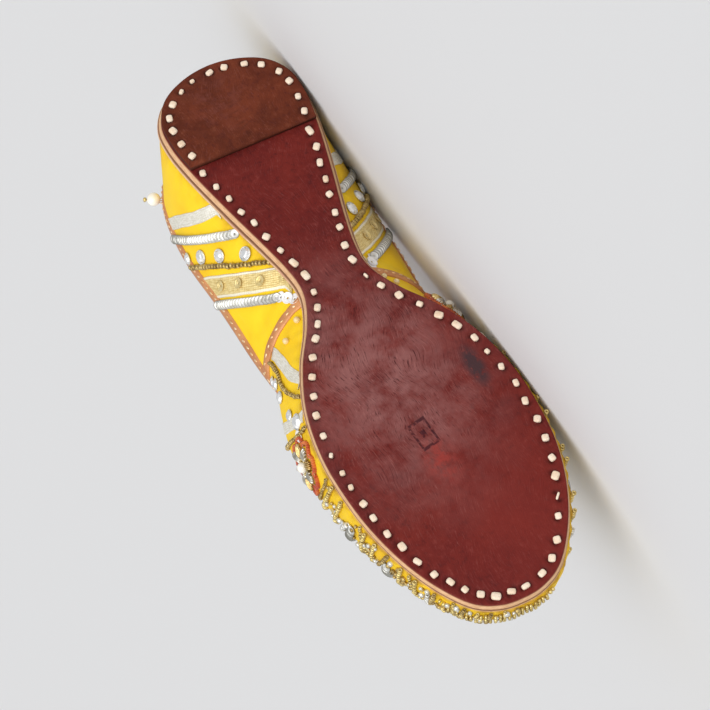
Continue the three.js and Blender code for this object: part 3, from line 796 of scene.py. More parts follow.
corners = np.vstack([grid.reshape(-1, 3) for grid in (skins[1], skins[-1], linings[1], linings[-1])])
columns = SKIN_UP + 1
quarter = (SKIN_ROUND + 1) * columns
skin_nets = [quads(SKIN_ROUND + 1, columns, number * quarter, round_columns=False, turned=number in (1, 2))
             for number in range(4)]
faces = sum(skin_nets, [])
for outer, inner, turned in ((0, 2 * quarter, False), (quarter, 3 * quarter, True)):
    for row, last, flipped in ((0, SKIN_ROUND, turned), (SKIN_UP, THROAT_RIB, not turned)):
        for rib in range(last):
            low, high = rib * columns + row, (rib + 1) * columns + row
            quad = (outer + low, outer + high, inner + high, inner + low)
            faces.append(quad[::-1] if flipped else quad)
around = np.repeat(skin_ats * HALF_ROUND, columns)
weave_place = np.vstack([np.column_stack([around, skin_height.ravel(), np.zeros(quarter)])] * 4)
make_piece("upper_silk", corners, faces, silk, "upper_cloth", ["upper"],
           marks={"weave_place": weave_place, "near_sole": np.tile(np.exp(-skin_height.ravel() / 1.1), 4),
                  "lining": np.repeat([0.0, 0.0, 1.0, 1.0], quarter)})


# ------------------------------------------------------------------ collar binding
# A bias strip of copper-coloured leather folded over the collar's raw edge, glued and then
# sewn through with a line of gold chain stitch.

outer_tree = BVHTree.FromPolygons(corners.tolist(), skin_nets[0] + skin_nets[1])
inner_tree = BVHTree.FromPolygons(corners.tolist(), skin_nets[2] + skin_nets[3])


def on_skin(side, at, up):
    """A point of the cloth's outer face: 1 left or -1 right, share round the sole, share up."""
    column, row = min(max(at, 0.0), 1.0) * SKIN_ROUND, min(max(up, 0.0), 1.0) * SKIN_UP
    i, j = min(int(column), SKIN_ROUND - 1), min(int(row), SKIN_UP - 1)
    a, b = column - i, row - j
    grid = skins[side]
    return ((grid[i, j] * (1 - b) + grid[i, j + 1] * b) * (1 - a)
            + (grid[i + 1, j] * (1 - b) + grid[i + 1, j + 1] * b) * a)


def press_on(point, lift=0.0, tree=outer_tree):
    """The nearest place of the cloth to a point, lifted off it, and the direction out of it."""
    place, normal, _, _ = tree.find_nearest(Vector(point))
    return np.array(place + normal * lift), np.array(normal)


def level_with(way, out):
    """The part of a way that lies on the cloth, as a direction."""
    return unit(way - out * (way @ out))


def even_path(points, pitch, closed=False):
    """The same path with its points about one pitch apart."""
    points = np.vstack([points, points[:1]]) if closed else np.asarray(points, float)
    gone = walked_along(points)
    stops = np.linspace(0, gone[-1], max(2, round(gone[-1] / pitch) + 1))
    even = np.stack([np.interp(stops, gone, points[:, k]) for k in range(3)], axis=1)
    return even[:-1] if closed else even


def path_frames(path, closed=False):
    """For each point of a path: the place on the cloth, the way along, across and out."""
    count = len(path)
    frames = []
    for k in range(count):
        before = path[k - 1] if closed or k > 0 else path[k]
        after = path[(k + 1) % count] if closed or k < count - 1 else path[k]
        place, out = press_on(path[k])
        along = level_with(after - before, out)
        frames.append((place, along, np.cross(out, along), out))
    return frames


COPPER = (0.52, 0.205, 0.075)
binding_hide = Finish("copper_binding", Roughness=0.42, Metallic=0.15, Specular_IOR_Level=0.5)
wrinkle = binding_hide.noise(1.0, 4.0, 0.6, where=binding_hide.stretched(
    (1.5, 0.35, 0.5), where=binding_hide.mark("strip_place", "Vector")))
binding_hide.colour = binding_hide.tint(binding_hide.patches(0.3, 0.7, 2.4, 4.0), COPPER, (0.66, 0.30, 0.12))
binding_hide.coat(binding_hide.ramp(wrinkle, 0.45, 0.25), (0.24, 0.085, 0.03), 0.5)
binding_hide.show(Normal=binding_hide.relief(wrinkle, 0.14, 0.8))

BINDING_WIDE, BINDING_THICK, BINDING_PITCH = 2.7, 0.42, 0.9
left_rim, right_rim = (
    np.array([on_skin(side, at, 1.0) for at in np.linspace(0, THROAT_AT, 150)]) for side in (1, -1))
collar_rim = even_path(np.vstack([left_rim[::-1], right_rim[1:-1]]), BINDING_PITCH, closed=True)


def inner_rim_point(rim_point):
    """The collar's inner edge across from a point of its outer edge."""
    side = 1 if rim_point[1] >= 0 else -1
    away = np.linalg.norm(skins[side][: THROAT_RIB + 1, -1] - rim_point, axis=1)
    first, second = np.argsort(away)[:2]
    share = away[first] / max(away[first] + away[second], 1e-9)
    return linings[side][first, -1] * (1 - share) + linings[side][second, -1] * share


def into_cloth(edge_point, way, tree):
    """The way, or its opposite, whichever runs over the cloth and not off its edge."""
    ahead, behind = (np.linalg.norm(press_on(edge_point + sign * way * 1.5, 0.0, tree)[0] - edge_point)
                     for sign in (1, -1))
    return way if ahead > behind else -way


def settled(ways):
    """Directions round the collar, evened out with their neighbours."""
    for _ in range(4):
        ways = unit(np.roll(ways, 1, axis=0) + 2 * np.array(ways) + np.roll(ways, -1, axis=0))
    return ways


inner_rim = np.array([inner_rim_point(spot) for spot in collar_rim])
collar_along = unit(np.roll(collar_rim, -1, axis=0) - np.roll(collar_rim, 1, axis=0))
collar_ways = []
for spot, inner, along in zip(collar_rim, inner_rim, collar_along):
    out = level_with(press_on(spot)[1], along)
    down = np.cross(along, out)
    collar_ways.append((out, into_cloth(spot, down, outer_tree), into_cloth(inner, down, inner_tree)))

rings = []
for spot, inner, (out, down, inside) in zip(collar_rim, inner_rim, settled(collar_ways)):
    outer_side = [press_on(spot + down * far, lift)[0] for far, lift in (
        (BINDING_WIDE, -0.05), (BINDING_WIDE - 0.15, 0.30), (BINDING_WIDE - 0.6, 0.42), (1.3, 0.36),
        (0.5, BINDING_THICK))]
    fold = [spot + out * 0.38 - down * 0.25, spot * 0.75 + inner * 0.25 - down * 0.48,
            spot * 0.25 + inner * 0.75 - down * 0.48, inner - out * 0.38 - down * 0.25]
    inner_side = [press_on(inner + inside * far, lift, inner_tree)[0] for far, lift in (
        (0.6, BINDING_THICK), (1.6, 0.36), (BINDING_WIDE - 0.3, 0.40), (BINDING_WIDE, -0.05))]
    rings.append(outer_side + fold + inner_side)
section = len(rings[0])
strip_place = [(k * BINDING_PITCH, j * 0.6, 0.0) for k in range(len(rings)) for j in range(section)]
make_piece("collar_binding", np.array(rings).reshape(-1, 3), quads(len(rings), section, round_rows=True),
           binding_hide, "upper_cloth", marks={"strip_place": strip_place})


# ------------------------------------------------------------------ collar chain stitch
# A line of gilt thread worked in chain stitch along the middle of the binding: small slanted
# links, none quite like the next.


def sew_on(name, shape, frames, finish, slot="upper_cloth", **more):
    """Copies of one small shape in one piece. Each frame is a place, three axes and the size."""
    shape_corners, shape_faces = shape
    corners, faces = [], []
    for number, (place, along, across, out, size) in enumerate(frames):
        corners.append(shape_corners @ (np.array([along, across, out]) * np.reshape(size, (-1, 1))) + place)
        faces += [[k + number * len(shape_corners) for k in face] for face in shape_faces]
    make_piece(name, np.vstack(corners), faces, finish, slot, **more)


def round_shape(around, rows):
    """A round shape from its rows of radius and height. A radius of nothing closes an end."""
    turns = np.arange(around) * 2 * math.pi / around
    rings = [np.column_stack([radius * np.cos(turns), radius * np.sin(turns), np.full(around, height)])
             for radius, height in rows]
    return np.vstack(rings), quads(len(rows), around)


def ball_rows(steps):
    """Rows of a ball of radius 1."""
    turns = np.linspace(-math.pi / 2, math.pi / 2, steps + 1)[1:-1]
    return [(0, -1.0)] + [(math.cos(turn), math.sin(turn)) for turn in turns] + [(0, 1.0)]


def turned_frame(along, across, out, slant):
    """The same frame turned about its outward axis, by radians."""
    return (along * math.cos(slant) + across * math.sin(slant),
            across * math.cos(slant) - along * math.sin(slant), out)


def two_tones(name, dark, light, rough, metal=0.0, cloud=(5.0, 4.0, 0.65), share=(0.35, 0.7),
              bump=(16.0, 3.0), depth=(0.06, 0.4), **shader):
    """A finish that wanders between two tones, with a fine bump; for thread, metal, foil, glass."""
    finish = Finish(name, Roughness=rough, Metallic=metal, **shader)
    finish.colour = finish.tint(finish.patches(*share, *cloud), dark, light)
    finish.show(Normal=finish.relief(finish.noise(*bump), *depth))
    return finish


gilt_thread = two_tones("gilt_thread", (0.80, 0.50, 0.22), (0.95, 0.74, 0.50), 0.38, 0.55, (6.0, 3.0),
                        bump=(60.0, 2.0), depth=(0.05, 0.5), Specular_IOR_Level=0.6)
LINK_PITCH = 2.15
chance = np.random.default_rng(5)
link_shape = round_shape(8, ball_rows(6))
link_line = even_path([(ring[2] + ring[3]) / 2 for ring in rings], LINK_PITCH, closed=True)
frames = []
for spot, (_, *axes) in zip(link_line, path_frames(link_line, closed=True)):
    along, across, out = turned_frame(*axes, chance.uniform(0.15, 0.5))
    frames.append((spot + out * 0.10, along, across, out,
                   (chance.uniform(0.55, 0.85), chance.uniform(0.24, 0.34), 0.22)))
sew_on("collar_chain_stitch", link_shape, frames, gilt_thread)


# ------------------------------------------------------------------ quarter seams
# Vamp and quarter meet under a narrow strip of the same copper leather, from the sole's edge up
# to the collar on each side, sewn down its middle with gilt thread.


def skin_path(side, ats, ups, pitch=0.8, past_foot=0.0):
    """An even path on the cloth through stops given as shares round the sole and up the wall. It
    can run on past its first stop, so that a wide strip covers the cloth to the sole's edge."""
    reach = np.concatenate([[0], np.cumsum(np.hypot(np.diff(ats) * 5, np.diff(ups)))])
    spots = np.array([on_skin(side, np.interp(far, reach, ats), np.interp(far, reach, ups))
                      for far in np.linspace(0, reach[-1], 160)])
    for _ in range(6):
        spots[1:-1] = (spots[:-2] + 2 * spots[1:-1] + spots[2:]) / 4
    if past_foot:
        spots = np.vstack([spots[0] + unit(spots[0] - spots[8]) * past_foot, spots])
    return even_path(spots, pitch)


def mirrored(edge, *middle):
    """A strip's section from the rows of one edge, which go across and up."""
    return [(-across, lift) for across, lift in edge] + [*middle] + edge[::-1]


def lay_strips(name, paths, profiles, finish, waver):
    """Strips laid on the cloth along paths, in one piece. A profile's rows are how far across and
    how far off the cloth, round the strip's section."""
    corners, faces, places = [], [], []
    for path, profile in zip(paths, profiles):
        frames, count, start = path_frames(path), len(profile), len(corners)
        gone = walked_along([place for place, *_ in frames])
        for far, (place, _, across, _) in zip(gone, frames):
            for sideways, lift in profile:
                shift = sideways + waver * math.sin(far * 0.9 + sideways)
                corners.append(press_on(place + across * shift, lift)[0])
                places.append((far, sideways, lift))
        faces += quads(len(frames), count, start)
        faces.append([start + k for k in range(count - 1, -1, -1)])
        faces.append([len(corners) - count + k for k in range(count)])
    make_piece(name, corners, faces, finish, "upper_cloth", marks={"strip_place": places})


QUARTER_SEAM = ((0.428, 0.432, 0.437, 0.445, 0.452, 0.459), (0.00, 0.14, 0.30, 0.50, 0.72, 0.97))
SEAM_PROFILE = mirrored([(1.45, -0.12), (1.38, 0.28), (1.0, 0.50), (0.4, 0.58)])
paths = [skin_path(side, *QUARTER_SEAM) for side in (1, -1)]
lay_strips("quarter_seams", paths, [SEAM_PROFILE] * 2, binding_hide, 0.06)
frames = []
for path in paths:
    for place, *axes in path_frames(even_path(path, 2.3))[1:-1]:
        along, across, out = turned_frame(*axes, chance.uniform(-0.5, 0.2))
        frames.append((place + out * 0.62 + across * chance.uniform(-0.2, 0.2), along, across, out,
                       (chance.uniform(0.42, 0.7), chance.uniform(0.24, 0.32), 0.2)))
sew_on("quarter_seam_stitches", link_shape, frames, gilt_thread)


# ------------------------------------------------------------------ gota ribbons
# Flat ribbons woven of metal strip: a silver-white one on each quarter and across the vamp, and
# a wide gold one with paler selvedges. They are caught down along both edges.


def on_both(*rows):
    """The same rows for the left side and then for the right."""
    return [(side, *row) for side in (1, -1) for row in rows]


SILVER_RIBBONS = on_both((3.3, (0.247, 0.228, 0.204, 0.180), (0.00, 0.30, 0.62, 0.97))) + [
    # side, width, shares round the sole, shares up the wall
    (1, 3.0, (0.549, 0.520, 0.492, 0.459), (0.00, 0.18, 0.36, 0.56)),
    (1, 2.8, (0.604, 0.574, 0.540, 0.512), (0.00, 0.30, 0.62, 0.90)),
    (-1, 3.0, (0.604, 0.580, 0.552, 0.530), (0.00, 0.26, 0.58, 0.86)),
]
GOLD_RIBBONS = on_both((5.6, (0.383, 0.352, 0.324, 0.298), (0.00, 0.35, 0.68, 0.97)))
RIBBON_THICK = 0.26


def ribbon_profile(width):
    half, thick = width / 2, RIBBON_THICK
    edge = [(half, -0.1), (half, thick * 0.7), (half - 0.2, thick), (half * 0.5, thick * 0.9)]
    return mirrored(edge, (0, thick * 0.95))


def woven_metal(name, light, dark, selvedge, selvedge_at):
    """Metal strip woven close: fine lengthwise strands crossed by small pinched wefts."""
    gota = Finish(name, where="strip_place", Roughness=0.42, Metallic=0.25, Specular_IOR_Level=0.5)
    strands = gota.waves("Y", 0.62, 0.8, 2.0, gota.where)
    wefts = gota.waves("X", 0.42, 1.2, 2.0, gota.where)
    glints = gota.noise(1.0, 3.0, 0.65, where=gota.stretched((0.7, 2.6, 1)))
    gota.colour = gota.tint(gota.ramp(glints, 0.3, 0.72), dark, light)
    gota.coat(gota.ramp(strands, 0.4, 0.1), dark, 0.3)
    across = gota.maths("ABSOLUTE", gota.node("SeparateXYZ", None, "Y", Vector=gota.where))
    gota.coat(gota.ramp(across, selvedge_at - 0.15, selvedge_at + 0.1), selvedge)
    gota.show(Normal=gota.relief(wefts, 0.06, 0.5, Normal=gota.relief(strands, 0.07, 0.7)))
    return gota


silver_gota = woven_metal("silver_gota", (0.92, 0.90, 0.82), (0.70, 0.66, 0.55), (0.90, 0.87, 0.76), 9.0)
gold_gota = woven_metal("gold_gota", (0.92, 0.76, 0.36), (0.66, 0.48, 0.17), (0.92, 0.86, 0.68), 2.15)
for name, rows, finish in (("silver_ribbons", SILVER_RIBBONS, silver_gota),
                           ("gold_ribbons", GOLD_RIBBONS, gold_gota)):
    lay_strips(name, [skin_path(side, ats, ups, past_foot=width) for side, width, ats, ups in rows],
               [ribbon_profile(row[1]) for row in rows], finish, 0.05)


# ------------------------------------------------------------------ sequins
# Cupped metal sequins. In rows each one overlaps the last and is tipped by it, like scales. The
# last few of the second row lie flat and are white pearl. Gold ones are spaced on the gold ribbon.

SEQUIN_ROWS = [
    # pitch, shares round the sole, shares up the wall; the same on both sides
    (1.06, (0.290, 0.262, 0.232, 0.206), (0.05, 0.36, 0.68, 0.94)),
    (1.06, (0.398, 0.376, 0.354, 0.334), (0.22, 0.48, 0.72, 0.94)),
    (1.12, (0.760, 0.735, 0.705, 0.680), (0.10, 0.40, 0.72, 0.995)),
    (1.12, (0.822, 0.805, 0.782, 0.762), (0.12, 0.42, 0.72, 0.995)),
]
RIGHT_VAMP_ROW = (-1, 1.12, (0.660, 0.630, 0.600), (0.06, 0.40, 0.72))
SEQUIN_RADIUS = 1.22
SCALE_TIP = math.radians(25)
# Single ones: side, at, up, radius
PEARL_SEQUINS = on_both((0.420, 0.060, 1.5), (0.411, 0.120, 1.5), (0.402, 0.180, 1.45)) + [
    (1, 0.617, 0.07, 1.5), (-1, 0.572, 0.10, 1.7)]
GOLD_SEQUINS = on_both((0.362, 0.235, 1.35), (0.341, 0.46, 1.35), (0.322, 0.69, 1.35)) + [
    (1, 0.720, 0.16, 1.3), (1, 0.790, 0.12, 1.1), (1, 0.850, 0.14, 1.1)]
sequin_shape = round_shape(16, [(0.16, 0.02), (0.20, 0.10), (0.55, 0.06), (0.80, 0.12), (0.98, 0.26),
                                (1.0, 0.24), (0.82, 0.06), (0.55, 0.0), (0.16, 0.02)])
silver_foil = two_tones("silver_foil", (0.58, 0.57, 0.52), (0.88, 0.88, 0.85), 0.30, 0.5)
gold_foil = two_tones("gold_foil", (0.74, 0.56, 0.22), (0.95, 0.80, 0.42), 0.3, 0.6)
pearl_foil = two_tones("pearl_foil", (0.86, 0.84, 0.84), (0.98, 0.97, 0.95), 0.3, 0.15,
                       Coat_Weight=0.5, Coat_Roughness=0.15)
# The turned rims of overlapping sequins are darker, where the light doesn't reach
silver_foil.coat(silver_foil.ramp(silver_foil.mark("rim"), 0.78, 0.94), (0.30, 0.29, 0.25))
silver_foil.show()

frames = []
for side, pitch, ats, ups in [(side, *row) for row in SEQUIN_ROWS for side in (1, -1)] + [RIGHT_VAMP_ROW]:
    for place, along, across, out in path_frames(skin_path(side, ats, ups, pitch)):
        tip = SCALE_TIP * chance.uniform(0.85, 1.15)
        frames.append((place + out * (0.25 + SEQUIN_RADIUS * math.sin(tip) * 0.55),
                       along * math.cos(tip) + out * math.sin(tip), across,
                       out * math.cos(tip) - along * math.sin(tip), SEQUIN_RADIUS))
sequin_rim = np.tile(np.linalg.norm(sequin_shape[0][:, :2], axis=1), len(frames))
sew_on("silver_sequins", sequin_shape, frames, silver_foil, marks={"rim": sequin_rim})


def flat_frames(rows, lift):
    """Frames for small things laid flat on the cloth, each turned its own way and tipped a little."""
    frames = []
    for side, at, up, radius in rows:
        spot = on_skin(side, at, up)
        place, out = press_on(spot)
        out = unit(out + np.array([chance.uniform(-0.1, 0.1) for _ in range(3)]))
        along = level_with(on_skin(side, min(at + 0.01, 1), up) - spot, out)
        along, across, out = turned_frame(along, np.cross(out, along), out, chance.uniform(0, 3))
        frames.append((place + out * lift, along, across, out, radius))
    return frames


sew_on("pearl_sequins", sequin_shape, flat_frames(PEARL_SEQUINS, 0.25), pearl_foil)
sew_on("gold_sequins", sequin_shape, flat_frames(GOLD_SEQUINS, 0.32), gold_foil)


# ------------------------------------------------------------------ stones
# Foil-backed glass stones, cut with eight sides and a flat top, each in a thin silver cup that
# is sewn down.

STONES = on_both((0.246, 0.90, 1.55), (0.268, 0.65, 1.7), (0.291, 0.41, 1.65), (0.319, 0.14, 1.7)) + [
    # side, at, up, radius
    (1, 0.600, 0.055, 1.9), (1, 0.580, 0.13, 1.4), (1, 0.541, 0.29, 1.45), (1, 0.512, 0.50, 1.4),
    (1, 0.486, 0.72, 1.4), (1, 0.741, 0.17, 1.3), (-1, 0.628, 0.12, 1.5), (-1, 0.606, 0.42, 1.4),
    (-1, 0.690, 0.14, 1.4), (1, 0.700, 0.52, 1.5), (-1, 0.668, 0.42, 1.5),
]
stone_shape = round_shape(8, [(0, 0.0), (0.92, 0.0), (0.94, 0.16), (0.74, 0.44), (0.46, 0.56), (0, 0.56)])
cup_shape = round_shape(18, [(0.90, -0.05), (1.06, 0.0), (1.10, 0.14), (1.02, 0.24), (0.92, 0.20),
                             (0.90, -0.05)])
glass_stone = two_tones("glass_stone", (0.66, 0.67, 0.68), (0.93, 0.93, 0.92), 0.08, 0.45,
                        Coat_Weight=1.0, Coat_Roughness=0.03)
frames = flat_frames(STONES, 0.18)
sew_on("glass_stones", stone_shape, frames, glass_stone, smooth=False)
sew_on("stone_cups", cup_shape, frames, silver_foil)


# ------------------------------------------------------------------ bead lines
# Strung seed beads couched down in lines: tarnished gold beside the ribbons, brighter gold in
# rows over the toe, a few of silver, and single cream beads along the quarter seam.

OLD_GOLD_LINES = on_both(((0.353, 0.323, 0.289, 0.259), (0.00, 0.30, 0.62, 0.93), 1.12, 0.74)) + [
    # side, shares round the sole, shares up the wall, pitch, radius
    (1, (0.577, 0.544, 0.501, 0.463), (0.00, 0.17, 0.42, 0.66), 0.9, 0.55),
    (1, (0.622, 0.594, 0.562, 0.536), (0.00, 0.30, 0.64, 0.92), 0.95, 0.55),
    (-1, (0.640, 0.612, 0.584, 0.562), (0.00, 0.32, 0.62, 0.90), 1.1, 0.60),
]
TO_RIDGE = (0.00, 0.34, 0.68, 0.995)
BRIGHT_GOLD_LINES = on_both(*((ats, ups, 1.22, 0.62) for ats, ups in (
    ((0.712, 0.688, 0.655, 0.632), (0.00, 0.32, 0.66, 0.995)), ((0.736, 0.712, 0.682, 0.656), TO_RIDGE),
    ((0.786, 0.766, 0.738, 0.716), TO_RIDGE), ((0.804, 0.785, 0.758, 0.738), TO_RIDGE),
    ((0.846, 0.832, 0.812, 0.796), TO_RIDGE), ((0.868, 0.856, 0.840, 0.826), TO_RIDGE),
    ((0.902, 0.894, 0.884, 0.874), (0.14, 0.42, 0.70, 0.995)))))
SILVER_LINES = on_both(((0.884, 0.874, 0.860, 0.848), (0.06, 0.34, 0.66, 0.995), 1.3, 0.66)) + [
    (1, (0.750, 0.735), (0.10, 0.24), 1.5, 0.75)]
SHORT_LINES = [
    # share round the sole where it starts at the foot, how far up it goes, how far it leans, radius
    (0.700, 0.24, 0.016, 0.50), (0.776, 0.30, -0.012, 0.50), (0.824, 0.22, 0.020, 0.60),
    (0.858, 0.30, -0.008, 0.55), (0.893, 0.36, 0.018, 0.60), (0.916, 0.40, 0.006, 0.50),
    (0.930, 0.34, 0.014, 0.55), (0.945, 0.38, 0.004, 0.50), (0.960, 0.34, 0.012, 0.55),
    (0.976, 0.38, 0.004, 0.50),
]
LOOSE_BEADS = 84
# Lines round the toe: height up the wall, and how far back each starts
TOE_LINES = [(0.050, 0.900), (0.115, 0.910), (0.185, 0.920)]
CREAM_BEADS = [(1, 0.455, 0.09, 0.85), (1, 0.475, 0.24, 0.8), (-1, 0.446, 0.07, 0.8), (-1, 0.462, 0.13, 0.8)]
bead_shape = round_shape(9, [(0.34, -0.62), (0.72, -0.70), (0.96, -0.36), (1.0, 0.0), (0.96, 0.36),
                             (0.72, 0.70), (0.34, 0.62), (0.34, -0.62)])
old_gold = two_tones("old_gold", (0.26, 0.17, 0.055), (0.66, 0.50, 0.20), 0.32, 0.65)
bright_gold = two_tones("bright_gold", (0.50, 0.37, 0.12), (0.86, 0.70, 0.30), 0.3, 0.7)
cream_glass = two_tones("cream_glass", (0.80, 0.58, 0.26), (0.90, 0.74, 0.42), 0.22,
                        Coat_Weight=0.8, Coat_Roughness=0.1)


def threaded(path, radius, uneven, sway=0.0):
    """Beads threaded along a path, a little uneven in size and off the line by their sway."""
    frames = []
    for place, along, across, out in path_frames(path):
        size = radius * chance.uniform(1 - uneven, 1 + uneven)
        spot = place + out * size * 0.85
        if sway:
            spot = spot + across * chance.uniform(-sway, sway)
        frames.append((spot, across, out, along, (size, size, size * 0.86)))
    return frames


def bead_lines(rows):
    lines = (threaded(skin_path(side, ats, ups, pitch), radius, 0.1, 0.12)
             for side, ats, ups, pitch, radius in rows)
    return sum(lines, [])


short_lines = [(1, (at, at - lean), (0.0, up), 2.0 * radius, radius) for at, up, lean, radius in SHORT_LINES]
sew_on("old_gold_beads", bead_shape, bead_lines(OLD_GOLD_LINES + short_lines[::2]), old_gold)
sew_on("bright_gold_beads", bead_shape, bead_lines(BRIGHT_GOLD_LINES + short_lines[1::2]), bright_gold)
frames = []
for up, start in TOE_LINES:
    path = [on_skin(1, at, up) for at in np.linspace(start, 1, 60)]
    path += [on_skin(-1, at, up) for at in np.linspace(1, start + 0.06, 30)][1:]
    frames += threaded(even_path(path, 1.1), 0.55, 0.08)
sew_on("toe_beads", bead_shape, frames, bright_gold)
# Loose beads fill the cloth between the lines, thickest by the sole on the left of the toe
loose = [(1, chance.uniform(0.69, 0.99), 0.02 + 0.36 * chance.uniform(0, 1) ** 1.6,
          chance.uniform(0.42, 0.78)) for _ in range(LOOSE_BEADS)]
sew_on("loose_gold_beads", bead_shape, flat_frames(loose[::2], 0.42), old_gold)
sew_on("loose_silver_beads", bead_shape, flat_frames(loose[1::2], 0.42), silver_foil)
sew_on("silver_beads", bead_shape, bead_lines(SILVER_LINES), silver_foil)
ball_shape = round_shape(14, ball_rows(8))
sew_on("cream_beads", ball_shape, flat_frames(CREAM_BEADS, 0.5), cream_glass)


# ------------------------------------------------------------------ zardozi flowers
# A raised flower on each side of the vamp, worked over a pad: petals of couched metal wire, a
# rim of orange silk cord, and a pearl among small beads in the middle.

FLOWERS = [
    # side, at, up, radius, how far it is turned
    (1, 0.648, 0.145, 7.0, 0.2), (-1, 0.527, 0.265, 6.0, 0.9),
]
PETALS, CENTRE_BEADS = 8, 11
CORD_PITCH = 0.62
petals, cord, centres, pearls, spray = ([], []), [], [], [], []
for side, at, up, radius, turned in FLOWERS:
    middle, out = press_on(on_skin(side, at, up))
    along = level_with(on_skin(side, at + 0.01, up) - on_skin(side, at - 0.01, up), out)
    across = np.cross(out, along)

    def around_flower(turn, far):
        return middle + (along * math.cos(turn) + across * math.sin(turn)) * far

    for petal in range(PETALS):
        turn = turned + 2 * math.pi * petal / PETALS
        for strand in range(-3, 4):
            fan = turn + strand * 0.085
            start, normal = press_on(around_flower(fan, radius * 0.30))
            end, _ = press_on(around_flower(fan, radius * (0.84 - 0.035 * strand * strand)))
            line = unit(end - start)
            sideways = np.cross(normal, line)
            swell = 0.85 - 0.16 * abs(strand)
            petals[petal % 2].append((
                start + (end - start) / 2 + normal * (0.45 + 0.75 * swell), line, sideways,
                np.cross(line, sideways), (np.linalg.norm(end - start) / 2, 0.27, 0.55 + 0.4 * swell)))
        edge = [around_flower(turn + step * 0.056, radius * (1.0 - 0.0045 * step * step))
                for step in range(-7, 8)]
        for place, *axes in path_frames(even_path(edge, CORD_PITCH)):
            slanted, sideways, normal = turned_frame(*axes, 0.6)
            cord.append((place + normal * 0.42, slanted, sideways, normal, (0.56, 0.34, 0.60)))
    place, normal = press_on(middle)
    pearls.append((place + normal * 1.3, along, across, normal, 1.35))
    for k in range(CENTRE_BEADS):
        spot, normal = press_on(around_flower(2 * math.pi * k / CENTRE_BEADS, 1.95))
        centres.append((spot + normal * 0.75, across, normal, along, 0.55))
    for k in range(PETALS):
        spot, normal = press_on(around_flower(turned + 2 * math.pi * (k + 0.5) / PETALS, radius * 0.80))
        spray.append((spot + normal * 0.5, along, across, normal, 0.75))

wire_gold = two_tones("wire_gold", (0.42, 0.27, 0.09), (0.86, 0.66, 0.30), 0.3, 0.9)
wire_silver = two_tones("wire_silver", (0.46, 0.42, 0.34), (0.88, 0.86, 0.80), 0.28, 0.9)
orange_cord = two_tones("orange_cord", (0.42, 0.045, 0.012), (0.66, 0.17, 0.03), 0.5, 0.0, (4.0, 3.0),
                        (0.35, 0.65), (55.0, 2.0), (0.05, 0.5), Specular_IOR_Level=0.4, Sheen_Weight=0.2)
sew_on("flower_gold_wire", ball_shape, petals[1], wire_gold)
sew_on("flower_silver_wire", ball_shape, petals[0], wire_silver)
sew_on("flower_cord", link_shape, cord, orange_cord)
sew_on("flower_centre_beads", bead_shape, centres, bright_gold)
sew_on("flower_sequins", sequin_shape, spray, silver_foil)


# ------------------------------------------------------------------ pearls
# Round glass pearls with a warm white skin. Two hang from the collar on a few turns of thread,
# each ended by a small gold bead, and one sits in each flower.

PEARL_RADIUS = 1.75
THREAD_RADIUS, THREAD_SIDES, THREAD_STEPS = 0.16, 7, 9
pearl_skin = two_tones("pearl_skin", (0.88, 0.84, 0.74), (0.94, 0.91, 0.83), 0.22, 0.0, (3.0, 3.0),
                       bump=(9.0, 3.0), depth=(0.05, 0.3), Specular_IOR_Level=0.6, Coat_Weight=0.7,
                       Coat_Roughness=0.08)
bored = [(0.10, -0.93), (0.13, -0.985)]
bored_above = [(radius, -height) for radius, height in bored[::-1]]
pearl_shape = round_shape(28, bored + ball_rows(18)[2:-2] + bored_above)
sew_on("flower_pearls", pearl_shape, pearls, pearl_skin, "pearl")
thread_cotton = Finish("thread_cotton", Roughness=0.7)
thread_cotton.colour = thread_cotton.tint(thread_cotton.noise(12.0), (0.74, 0.55, 0.28), (0.92, 0.80, 0.56))
thread_cotton.show()


def stand_up(lying):
    """From the row's metres back to the standing shoe's millimetres."""
    return (np.array(lying) * 1000 - LYING_PLACE) @ LYING


def thread_tube(path):
    """Corners of a thin round thread along a path."""
    corners = []
    for k, spot in enumerate(path):
        ahead = unit(path[min(k + 1, len(path) - 1)] - path[max(k - 1, 0)])
        sideways = unit(np.cross(ahead, (0.31, 0.52, 0.79)))
        upward = np.cross(ahead, sideways)
        for angle in np.arange(THREAD_SIDES) * 2 * math.pi / THREAD_SIDES:
            corners.append(spot + (sideways * math.cos(angle) + upward * math.sin(angle)) * THREAD_RADIUS)
    return corners


end_beads, corners, faces = [], [], []
for node_name in ("pearl_left", "pearl_right"):
    low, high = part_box(node_name)
    centre = stand_up((low + high) / 2)
    place, _ = press_on(centre)
    away = unit(centre - place)
    sideways = unit(np.cross(away, (0, 0, 1)))
    upward = np.cross(sideways, away)
    sew_on(node_name + "_bead", pearl_shape, [(centre, sideways, upward, away, PEARL_RADIUS)], pearl_skin,
           "pearl", stands_for=[node_name])
    end_beads.append((centre + away * (PEARL_RADIUS + 0.45), sideways, upward, away, (0.62, 0.62, 0.5)))
    for swing in (-0.35, 0.0, 0.35):
        start = place + sideways * swing * 2 + upward * 0.8
        bow = [start + (centre + away * (PEARL_RADIUS + 0.9) - start) * t
               + sideways * swing * math.sin(math.pi * t) * (1 - t) for t in np.linspace(0, 1, THREAD_STEPS)]
        faces += quads(THREAD_STEPS, THREAD_SIDES, len(corners))
        corners += thread_tube(bow)
sew_on("pearl_end_beads", bead_shape, end_beads, bright_gold, "pearl")
make_piece("pearl_threads", corners, faces, thread_cotton, "pearl")


# ------------------------------------------------------------------ sole stitches
# Thick waxed cream thread of three plies, drawn through the punched holes with an awl. Each
# stitch stands up in the middle and dips into the holes at its ends.

STITCH_RISE = 0.62
STITCH_STATIONS, STITCH_SIDES = 14, 20


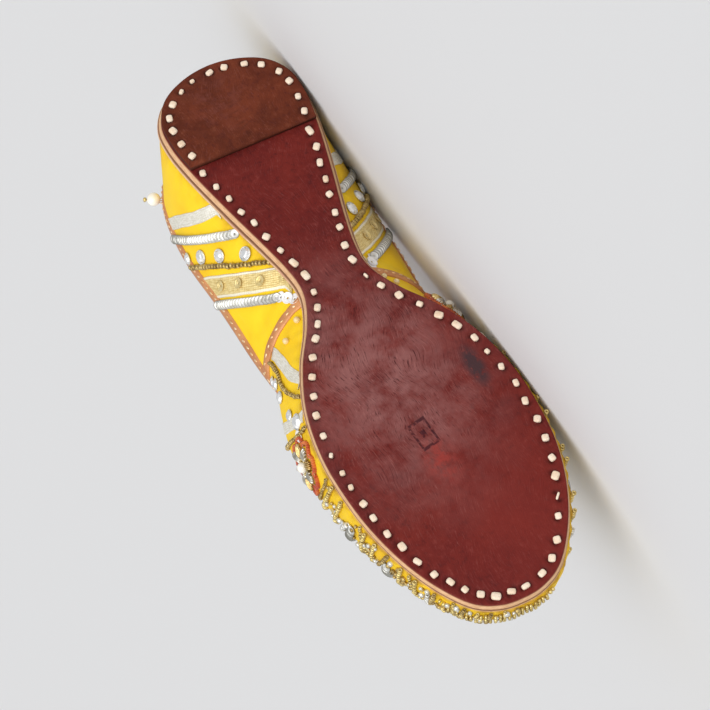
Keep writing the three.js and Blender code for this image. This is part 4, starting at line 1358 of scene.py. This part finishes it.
def stitch_shape():
    """One stitch of length and width 2 and height 1, plumped and grooved between its plies."""
    corners = []
    for station in range(STITCH_STATIONS + 1):
        along = -1 + 2 * station / STITCH_STATIONS
        fullness = (1 - abs(along) ** 4.5) ** (1 / 2.6) if 0 < station < STITCH_STATIONS else 0.0
        for turn in range(STITCH_SIDES):
            c, s = math.cos(2 * math.pi * turn / STITCH_SIDES), math.sin(2 * math.pi * turn / STITCH_SIDES)
            across, rise = math.copysign(abs(c) ** 0.62, c), math.copysign(abs(s) ** 0.8, s)
            groove = 1 - 0.13 * (0.5 + 0.5 * math.cos(2 * math.pi * (across * 3 / 2 + 0.22 * along + 0.5)))
            corners.append((along, across * fullness * (0.92 + 0.08 * fullness), rise * fullness * groove))
    return np.array(corners), quads(STITCH_STATIONS + 1, STITCH_SIDES, turned=True)


wax = Finish("waxed_thread", Roughness=0.55, Specular_IOR_Level=0.35, Sheen_Weight=0.1)
wax.colour = wax.tint(wax.patches(0.35, 0.75, 4.0, 4.0, 0.6), (0.90, 0.76, 0.60), (0.80, 0.60, 0.42))
fibres = wax.noise(1.0, where=wax.stretched((30, 30, 30)))
wax.coat(wax.ramp(fibres, 0.5, 0.25), (0.55, 0.34, 0.2), 0.35)
wax.show(Normal=wax.relief(fibres, 0.06, 0.6))

frames = []
for stitch_walked, inset, long, wide, slant in stitches:
    behind, spot, before = (rim - out * inset for rim, out in (
        round_rim(stitch_walked + step) for step in (-0.5, 0.0, 0.5)))
    ahead = before - behind
    on_pad = spot[0] < HEEL_LIFT_LENGTH
    height = 0.0 if on_pad else tread_height(spot[0])
    slope = 0.0 if on_pad else tread_height(spot[0] + 0.5) - tread_height(spot[0] - 0.5)
    along = unit(np.array([ahead[0], ahead[1], slope * ahead[0]]))
    out = np.cross(np.cross(along, (0, 0, 1)), along)
    out = -out if out[2] > 0 else out
    axes = turned_frame(along, np.cross(out, along), out, -slant)
    frames.append((np.array([*spot, height + 0.22]), *axes, (long / 2, wide / 2, STITCH_RISE)))
sew_on("sole_stitches", stitch_shape(), frames, wax, "sole_leather")
